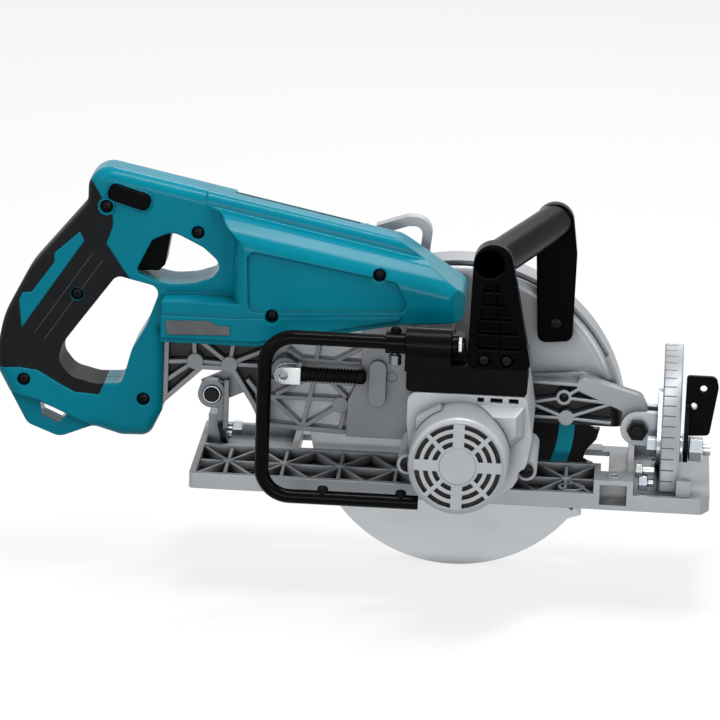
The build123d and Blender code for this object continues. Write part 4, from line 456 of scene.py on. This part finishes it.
flag_rivet = (150.8, lock_y - 1.4, 60.8)
lathed("flag_rivet", [(0, 0), (2.3, 0), (2.3, 0.5), (1.7, 1.2), (0.8, 1.5), (0, 1.6)], flag_rivet, to_right, 24,
       zinc_bolt, "bevel_lever")


# Depth hinge and depth guide: zinc link plate in the darker copy, with its clamp slot, black oxide nut and pins.
# The guide turns on a pin with a turned ring round its dark end.
black_oxide = lacquered("black_oxide", "0A0B0C", 0.3, 0.15)
dress(black_oxide, "depth_bolt", "depth_nut")
dress(darker_plate, "depth_guide")

guide_axis = (-157.5, 0, 47.0)
guide_pin = lathed("guide_pin", [(0, -14.0), (6.8, -14.0), (7.8, -13.5), (7.8, -12.6), (4.0, -12.3), (4.0, 0),
                                 (4.6, 0), (4.6, 2.2), (4.2, 2.7), (0, 2.7)],
                   guide_axis, to_right, 40, black_oxide, "tilt_frame")
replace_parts(guide_pin, "guide_bolt")
lathed("guide_pin_ring", [(4.7, 0.1), (6.4, 0.1), (6.2, 0.8), (5.6, 1.6), (5.0, 1.6), (4.7, 1.2), (4.7, 0.1)],
       guide_axis, to_right, 40, zinc_bolt, "tilt_frame")


# Rear frame and gear case: magnesium castings bolted together behind the blade, clear coated.
# The rear bays of the frame are painted dark as shade and its front web is painted light; a round ejector mark
# shows on it.
frame_rib_face, frame_web_face = -10.0, -3.0
web_deep, web_light = -4.0, -8.0
web_rear, web_front = -122.0, -104.0
# painted shade in the rear bays, behind X -112 mm
frame_magnesium = casting("frame_magnesium", "84878A", "1A1B1C", 0.4, corner_shade=0.4,
                          bays=[(1, frame_rib_face, frame_web_face), (0, -112.0, -124.0)])
tree, skin, place = opened(frame_magnesium)
parts = add(tree, "SeparateXYZ", links={0: place}).outputs
# painted light: the front web is painted lighter than the ribs
deep = ramp(tree, parts[1], web_light * MM, web_deep * MM)
to_front = ramp(tree, parts[0], web_rear * MM, web_front * MM, high=0.8)
tinted(tree, skin, "C6C9CC", product(tree, deep, to_front))
dress(frame_magnesium, "rear_frame")
case_magnesium = casting("case_magnesium", "8F9296", "1B1C1D", 0.4)
dress(case_magnesium, "gear_case")
ejector_mark = (-41.6, -15.95, 68.9)
lathed("cover_ejector_mark", [(3.6, 0), (3.6, 0.25), (3.2, 0.35), (2.8, 0.25), (2.8, 0), (3.6, 0)], ejector_mark,
       to_right, 40, frame_magnesium, "head")


# Guards: thin aluminium castings, smooth and clear coated, pale silver; the lever is a casting of its own.
# Only the open bays of the upper guard's front arm are painted dark as shade.
arm_rib_face, arm_web_face, arm_back = 10.0, 18.5, 27.0
arm_top, arm_rear = 61.5, 47.0
# painted shade in the bays of the front arm
guard_alloy = casting("guard_alloy", "94989C", "222324", 0.34, metallic=0.5, bays=[
    (1, arm_rib_face, arm_web_face), (1, arm_back + 3.0, arm_back), (2, arm_top + 3.0, arm_top),
    (0, arm_rear - 3.0, arm_rear)])
dress(guard_alloy, "upper_guard")
swing_guard_alloy = casting("swing_guard_alloy", "E2E6EA", "5A5C5F", 0.42)
dress(swing_guard_alloy, "lower_guard")
lever_alloy = casting("lever_alloy", "A9ADB1", "3A3B3D", 0.4)
dress(lever_alloy, "guard_lever")
spring_wire = lacquered("spring_wire", "3C3D40", 0.35, 0.5)
dress(spring_wire, "guard_spring")


# Drive line: ground and hardened steel, turned on a lathe, so fine rings run round every axis.
# The blade is coated black, with a plain coloured ring, and carries brazed carbide tips.
def lathe_steel(name, colour, roughness, centre, metallic=1.0, specular=0.5):
    """Turned steel with rings about an axis along Y through a centre (x, z) in mm."""
    ring_pitch = 1.2   # real tool marks are 0.1 mm; drawn coarser so that they show
    material, tree, place = new_material(name)
    centred = add(tree, "VectorMath", {1: (centre[0] * MM, 0, centre[1] * MM)}, {0: place}, operation="SUBTRACT")
    flat = add(tree, "VectorMath", {1: (1, 0, 1)}, {0: centred.outputs[0]}, operation="MULTIPLY")
    reach = add(tree, "VectorMath", links={0: flat.outputs[0]}, operation="LENGTH")
    rings = add(tree, "TexNoise", {"Scale": 1 / (ring_pitch * MM), "Detail": 3.0}, {"W": reach.outputs["Value"]},
                noise_dimensions="1D").outputs[0]
    surface(tree, {"Metallic": metallic, "Specular IOR Level": specular},
            scaled(tree, colour, ramp(tree, rings, 0.3, 0.7, 0.85, 1.1)),
            ramp(tree, rings, 0.0, 1.0, roughness - 0.05, roughness + 0.1), relief(tree, rings, 0.08, 0.1, 0.4))
    return material


arbor = (0.0, 27.0)
spindle_steel = lathe_steel("spindle_steel", "8F9296", 0.32, arbor)
dress(spindle_steel, "spindle", "spindle_gear", "inner_flange", "outer_flange", "spindle_bearings")
dress(black_oxide, "blade_bolt")

ring_inner, ring_outer = 65.5, 75.6
blade_coating = lathe_steel("blade_coating", "101112", 0.34, arbor, metallic=0.0, specular=0.1)
tree, skin, place = opened(blade_coating)
reach = next(n for n in tree.nodes if n.type == "VECT_MATH" and n.operation == "LENGTH").outputs["Value"]
past_inner = ramp(tree, reach, (ring_inner - 0.1) * MM, (ring_inner + 0.1) * MM)
past_outer = ramp(tree, reach, (ring_outer + 0.1) * MM, (ring_outer - 0.1) * MM)
tinted(tree, skin, "17B6D0", product(tree, past_inner, past_outer))
dress(blade_coating, "blade")

blade_centre = Vector((arbor[0], 44.0, arbor[1]))
blade_radius, tooth_count = 92.0, 24
tip_length, tip_kerf, tip_thickness, tip_chamfer = 4.2, 2.0, 1.5, 0.2
tip_angle = 0.93 * 360 / tooth_count
tips = bmesh.new()
bmesh.ops.create_cube(tips, size=MM)
bmesh.ops.scale(tips, verts=tips.verts, vec=(tip_length, tip_kerf, tip_thickness))
bmesh.ops.bevel(tips, geom=list(tips.edges), offset=tip_chamfer * MM, segments=1, profile=0.5, affect="EDGES",
                material=-1)
bmesh.ops.translate(tips, verts=tips.verts, vec=Vector((blade_radius - tip_length / 2 - 0.1, 0, 0.2)) * MM)
bmesh.ops.rotate(tips, verts=tips.verts, cent=(0, 0, 0), matrix=Matrix.Rotation(-radians(tip_angle), 3, "Y"))
bmesh.ops.translate(tips, verts=tips.verts, vec=blade_centre * MM)
bmesh.ops.spin(tips, geom=list(tips.verts) + list(tips.edges) + list(tips.faces), cent=blade_centre * MM,
               axis=(0, 1, 0), angle=radians(360 * (tooth_count - 1) / tooth_count), steps=tooth_count - 1,
               use_duplicate=True)
ground_carbide = lathe_steel("ground_carbide", "6F7275", 0.25, arbor)
make("carbide_tips", tips, ground_carbide, "spindle")


# Motor: cast housing and end cap round a stack of laminations, enamelled windings and a fan.
# The pale cap has a hub disc, a rim ring and a grille; a black sheet behind it stands in for the shade inside, so
# the motor looks dark.
def striped(name, colour, shade, pitch, axis, roughness, metallic):
    """Stacked sheets or laid wire: fine stripes of a pitch in mm across an axis."""
    material, tree, place = new_material(name)
    stripes = add(tree, "TexWave", {"Scale": 0.314 / (pitch * MM), "Distortion": 0.6, "Detail": 1.0},
                  {"Vector": place}, bands_direction=axis).outputs["Fac"]
    ridged = add(tree, "Bump", {"Strength": 0.4, "Distance": 0.2 * MM}, {"Height": stripes})
    tint = add(tree, "Mix", {"A": linear(shade), "B": linear(colour)}, {"Factor": stripes}, data_type="RGBA")
    skin = add(tree, "BsdfPrincipled", {"Metallic": metallic, "Roughness": roughness},
               {"Base Color": tint.outputs["Result"], "Normal": ridged.outputs[0]})
    add(tree, "OutputMaterial", links={"Surface": skin.outputs[0]})
    return material


def cross_screw(shape, centre, axis, radius, height, shank):
    """Adds a pan head with a cross recess on a short shank; the head rises from the centre along the axis."""
    steps, shank_length = 32, 3.0
    axis = Vector(axis).normalized()
    top_radius, recess_long, recess_short = 0.66 * radius, 0.54 * radius, 0.15 * radius
    turned(shape, [(0, -shank_length), (shank, -shank_length), (shank, 0), (radius, 0), (radius, 0.45 * height),
                   (0.9 * radius, 0.8 * height), (top_radius, height)], centre, axis, steps)
    top = (Vector(centre) + axis * height) * MM
    upright = axis.to_track_quat("Z", "Y").to_matrix()
    recess = bmesh.ops.create_circle(shape, cap_ends=True, segments=steps, radius=MM,
                                     matrix=Matrix.Translation(top) @ upright.to_4x4())["verts"]
    for corner in recess:
        out = (corner.co - top).normalized()
        across, along = [max(abs(out.dot(upright.col[i])), 1e-6) for i in (0, 1)]
        corner.co = top + out * MM * max(min(recess_long / across, recess_short / along),
                                         min(recess_short / across, recess_long / along))
    mouth = recess[0].link_faces[0]
    sunk = bmesh.ops.extrude_face_region(shape, geom=[mouth])["geom"]
    floor = [part for part in sunk if isinstance(part, bmesh.types.BMVert)]
    bmesh.ops.delete(shape, geom=[mouth], context="FACES_ONLY")
    bmesh.ops.translate(shape, verts=floor, vec=-axis * 0.7 * height * MM)
    bmesh.ops.bridge_loops(shape, edges=[edge for edge in shape.edges if edge.is_boundary])
    bmesh.ops.recalc_face_normals(shape, faces=shape.faces)


def head_screws(name, places, radius, node):
    """Screws of the head that face right and stand for a CAD node."""
    head_height, shank = 3.0, 2.0
    shape = bmesh.new()
    for place in places:
        cross_screw(shape, place, to_right, radius, head_height, shank)
    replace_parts(make(name, shape, black_oxide, "head"), node)


motor = (6.075, 44.156)
housing_magnesium = casting("housing_magnesium", "B4B8BC", "1B1C1D", 0.42)
dress(housing_magnesium, "motor_housing")
cap_alloy = casting("cap_alloy", "B2B5B8", "2E2F31", 0.45)
dress(cap_alloy, "motor_end_cap")
rotor_steel = lathe_steel("rotor_steel", "7C7F83", 0.35, motor)
dress(rotor_steel, "rotor_shaft", "rotor_bearings")
dress(striped("silicon_steel_sheets", "5B5D60", "2B2C2E", 1.0, "Y", 0.45, 0.7), "stator", "rotor_core")
dress(striped("enamelled_copper", "4A2412", "200E06", 1.2, "DIAGONAL", 0.35, 0.3), "windings")

hub_radius, rim_radius, cap_front = 11.4, 27.9, -127.9
cap_middle = (motor[0], cap_front, motor[1])
cap_trims = bmesh.new()
turned(cap_trims, [(0, 0), (hub_radius, 0), (hub_radius, 0.3), (hub_radius - 0.3, 0.6), (0, 0.6)],
       cap_middle, to_right, 64)
turned(cap_trims, [(rim_radius - 0.5, 0), (rim_radius + 0.4, 0), (rim_radius + 0.3, 0.3), (rim_radius - 0.1, 0.45),
                   (rim_radius - 0.4, 0.3), (rim_radius - 0.5, 0)], cap_middle, to_right, 96)
make("cap_trims", cap_trims, cap_alloy, "head")

# painted shade: a black gauze disc behind the grille, where the motor is in shade
screen_outer, screen_inner, screen_face, screen_depth = 28.2, 9.8, -123.6, 0.8
shade_gauze = striped("black_shade_gauze", "0B0B0C", "020202", 1.6, "DIAGONAL", 0.6, 0.0)
lathed("cap_shade_screen", [(screen_inner, 0), (screen_outer, 0), (screen_outer, screen_depth),
                           (screen_inner, screen_depth), (screen_inner, 0)],
       (motor[0], screen_face, motor[1]), to_right, 48, shade_gauze, "head")

lug_seat = -76.0
head_screws("housing_screws", [(47.6, lug_seat, 29.0), (-27.0, lug_seat, 29.0)], 4.6, "motor_screws")


# Depth lock lever: chrome clevis and clamp bolt, with a ribbed rubber sleeve on the lever's core.
# The rubber is dull, with a fine stipple.
def rubber(name, colour, roughness):
    """Moulded rubber: matt, with a fine stipple and a cloudy bloom."""
    stipple_size = 1.2   # real spark texture is 0.3 mm; drawn coarser so that it shows
    cloud_size = 18.0
    material, tree, place = new_material(name)
    stipple = add(tree, "TexVoronoi", {"Scale": 1 / (stipple_size * MM)}, {"Vector": place}).outputs["Distance"]
    cloud = noise(tree, place, cloud_size, 3.0)
    surface(tree, {"Specular IOR Level": 0.08}, scaled(tree, colour, ramp(tree, cloud, 0.3, 0.7, 0.8, 1.35)),
            ramp(tree, cloud, 0.0, 1.0, roughness - 0.08, roughness + 0.1), relief(tree, stipple, 0.1, 0.15, 0.8))
    return material


chrome = plated("chrome", "D8DCE0", 0.2)
dress(chrome, "depth_lever")
dress(zinc_bolt, "depth_clamp_bolt", "depth_clamp_nut")
dress(rubber("sleeve_rubber", "0A0B0B", 0.48), "depth_lever_sleeve")


# Grip skins: black elastomer moulded over the handle, with two fine pale lines raised along the palm side.
# The lines run from the top of the inlay down to the heel of the grip.
line_across = Vector((0.831, 0, -0.556))
line_along = Vector((-0.556, 0, -0.831))
line_first, line_pitch, line_width = -272.8, 7.6, 0.9
line_start, line_end = 14.0, 79.0
line_middle, line_half = (line_start + line_end) / 2, (line_end - line_start) / 2
half_width = line_width / 2 / line_pitch
grip_elastomer = rubber("grip_elastomer", "17181A", 0.5)
tree, skin, place = opened(grip_elastomer)
across = add(tree, "VectorMath", {1: line_across / (line_pitch * MM)}, {0: place}, operation="DOT_PRODUCT")
count = add(tree, "Math", {1: -line_first / line_pitch}, {0: across.outputs["Value"]}).outputs[0]
nearest = add(tree, "Math", {1: 0.5}, {0: count}, operation="PINGPONG").outputs[0]
on_line = ramp(tree, nearest, half_width, half_width * 0.4)
first_two = add(tree, "Math", {1: 0.5, 2: 0.7}, {0: count}, operation="COMPARE").outputs[0]
along = add(tree, "VectorMath", {1: line_along / MM}, {0: place}, operation="DOT_PRODUCT").outputs["Value"]
within = add(tree, "Math", {1: line_middle, 2: line_half}, {0: along}, operation="COMPARE").outputs[0]
palm_lines = product(tree, product(tree, on_line, first_two), within)
tinted(tree, skin, "4A4B4D", palm_lines)
embossed(tree, skin, palm_lines, 0.6, 0.4)
dress(grip_elastomer, "grip_right", "grip_left")


# Handle shells: two halves of teal glass-filled nylon, screwed together from the right.
# A raised lip runs round the lock-off button, and a plain ring round the top screw.
def moulding(name, colour, shade, roughness, specular=0.025):
    """Injection-moulded plastic: satin, with a fine spark texture, soft edges and painted shade in its corners."""
    spark_size = 1.1   # real spark texture is 0.2 mm; drawn coarser so that it shows
    cloud_size = 45.0
    material, tree, place = new_material(name)
    spark = noise(tree, place, spark_size, 3.0)
    cloud = noise(tree, place, cloud_size, 2.0)
    body = scaled(tree, colour, ramp(tree, cloud, 0.35, 0.65, 0.96, 1.04))
    # painted shade in corners
    deep = add(tree, "Mix", {"B": linear(shade)}, {"Factor": corners(tree, 8.0, 0.95, 0.8), "A": body},
               data_type="RGBA")
    surface(tree, {"Specular IOR Level": specular}, deep.outputs["Result"],
            ramp(tree, cloud, 0.0, 1.0, roughness - 0.05, roughness + 0.08),
            relief(tree, spark, 0.05, 0.12, 1.8, samples=8))
    return material


teal_nylon = moulding("teal_nylon", "008196", "003842", 0.2, 0.08)
dress(teal_nylon, "handle_right", "handle_left")

shell_face = -17.0
button_place, button_tilt = Vector((-212.0, shell_face, 178.0)), radians(-16.0)
button_length, button_width, button_gap = 27.0, 10.5, 0.35
lip_width, lip_height, lip_round = 1.3, 0.9, 0.4
lip_length, lip_breadth = [size + 2 * (button_gap + lip_width) for size in (button_length, button_width)]
lip = bmesh.new()
bmesh.ops.create_grid(lip, x_segments=1, y_segments=1, size=0.5 * MM)
bmesh.ops.scale(lip, verts=lip.verts, vec=(lip_length, lip_breadth, 1))
bmesh.ops.bevel(lip, geom=list(lip.verts), offset=(lip_breadth / 2 - 1) * MM, segments=8, profile=0.5,
                affect="VERTICES", material=-1)
bmesh.ops.inset_region(lip, faces=list(lip.faces), thickness=lip_width * MM, use_boundary=True,
                       use_even_offset=True)
middle = max(lip.faces, key=lambda face: face.calc_area())
bmesh.ops.delete(lip, geom=[middle], context="FACES")
raised = bmesh.ops.extrude_face_region(lip, geom=list(lip.faces))["geom"]
bmesh.ops.translate(lip, verts=[part for part in raised if isinstance(part, bmesh.types.BMVert)],
                    vec=(0, 0, lip_height * MM))
crest = [edge for edge in lip.edges if all(vert.co.z > 0.5 * lip_height * MM for vert in edge.verts)
         and edge.calc_face_angle(0) > radians(60)]
bmesh.ops.bevel(lip, geom=crest, offset=lip_round * MM, segments=2, profile=0.5, affect="EDGES", material=-1)
bmesh.ops.recalc_face_normals(lip, faces=lip.faces)
bmesh.ops.transform(lip, verts=lip.verts, matrix=Matrix.Translation(button_place * MM)
                    @ Matrix.Rotation(-button_tilt, 4, "Y") @ Matrix.Rotation(radians(90), 4, "X"))
make("button_lip", lip, teal_nylon, "head")

top_screw = (-226.5, 171.0)
lathed("top_screw_ring", [(4.25, 0), (5.7, 0), (5.5, 0.7), (5.0, 0.9), (4.5, 0.7), (4.25, 0)],
       (top_screw[0], shell_face, top_screw[1]), to_right, 40, teal_nylon, "head")

grip_screw_seat, body_screw_seat = -12.0, -31.2
grip_screws = [top_screw, (-168, 157), (-244, 113), (-277, 55), (-200, 46)]
body_screws = [(-118, 110), (-51, 140)]
head_screws("shell_screws", [(x, grip_screw_seat, z) for x, z in grip_screws]
            + [(x, body_screw_seat, z) for x, z in body_screws], 3.8, "handle_screws")


# Rating plate: bare foil label on the ledge, dark grey, with nothing printed on it.
# Foil is smooth and slightly mottled.
foil = lacquered("grey_foil", "45484B", 0.4, 0.5)
dress(foil, "rating_plate")


# Switchgear: trigger, lock-off button, switch and controller, all in black nylon, on a steel pin.
# Trigger and button are polished by fingers; the switch and the controller are hidden in the shells.
black_nylon = moulding("black_nylon", "0B0C0D", "030303", 0.34)
worn_nylon = moulding("worn_nylon", "08090A", "020202", 0.28)
dress(worn_nylon, "trigger", "lock_off_button")
dress(black_nylon, "switch_unit", "controller", "shaft_lock", "fan")
dress(lathe_steel("trigger_pin_steel", "8F9296", 0.3, (-190.0, 157.0)), "trigger_pin")


# Battery receivers: black nylon rails on the left wall, with a terminal block between each pair.
# The blocks are black below and carry brass blades above.
dress(black_nylon, "battery_rails")
block_top = 128.0
terminal_brass = plated("terminal_brass", "C8A458", 0.3)
tree, skin, place = opened(terminal_brass)
parts = add(tree, "SeparateXYZ", links={0: place}).outputs
above = ramp(tree, parts[2], (block_top - 0.05) * MM, (block_top + 0.05) * MM)
brass = skin.inputs["Base Color"].links[0].from_socket
two_tone = add(tree, "Mix", {"A": linear("131415")}, {"Factor": above, "B": brass}, data_type="RGBA")
tree.links.new(two_tone.outputs["Result"], skin.inputs["Base Color"])
tree.links.new(above, skin.inputs["Metallic"])
dress(terminal_brass, "terminal_blocks")


# Hook: bracket and sleeve painted black over a casting, and a bent rod in gloss black.
# The cross pin is dull zinc with a black ball on top; a zinc nut ends the rod in front of the sleeve.
dress(lacquered("bracket_paint", "050505", 0.26, 0.05), "hook_bracket")
dress(lacquered("rod_paint", "040404", 0.18, 0.05), "hook_rod")
dress(plated("dull_zinc", "6E7174", 0.42), "hook_cross_pin")
dress(rubber("stud_rubber", "070707", 0.42), "hook_studs")

hook_y, hook_z, pin_x = -85.0, 110.0, -37.0
lathed("pin_ball", [(0, 4.0), (3.0, 4.0), (3.3, 5.2), (3.6, 6.6), (3.4, 8.2), (2.5, 9.6), (1.2, 10.2), (0, 10.3)],
       (pin_x, hook_y, hook_z), up, 32, worn_nylon, "hook")
lathed("hook_end_nut", [(0, 1.8), (4.6, 1.8), (5.2, 2.3), (5.2, 4.2), (4.6, 4.7), (2.6, 4.7), (2.2, 5.4), (0, 5.4)],
       (0, hook_y, hook_z), forward, 6, zinc_bolt, "hook", up)


# Front handle: black glass-filled nylon with a ribbed near leg and a hollow bar, screwed to bracket and guard.
# Its screws are pan heads in black oxide.
handle_nylon = moulding("handle_nylon", "040404", "010101", 0.22)
dress(handle_nylon, "front_handle")
near_seat, far_seat = -88.0, 18.0
foot_screws = [(18.3, near_seat, 103.0), (32.5, near_seat, 103.0), (60.4, far_seat, 101.0)]
head_screws("handle_foot_screws", foot_screws, 3.8, "front_handle_screws")
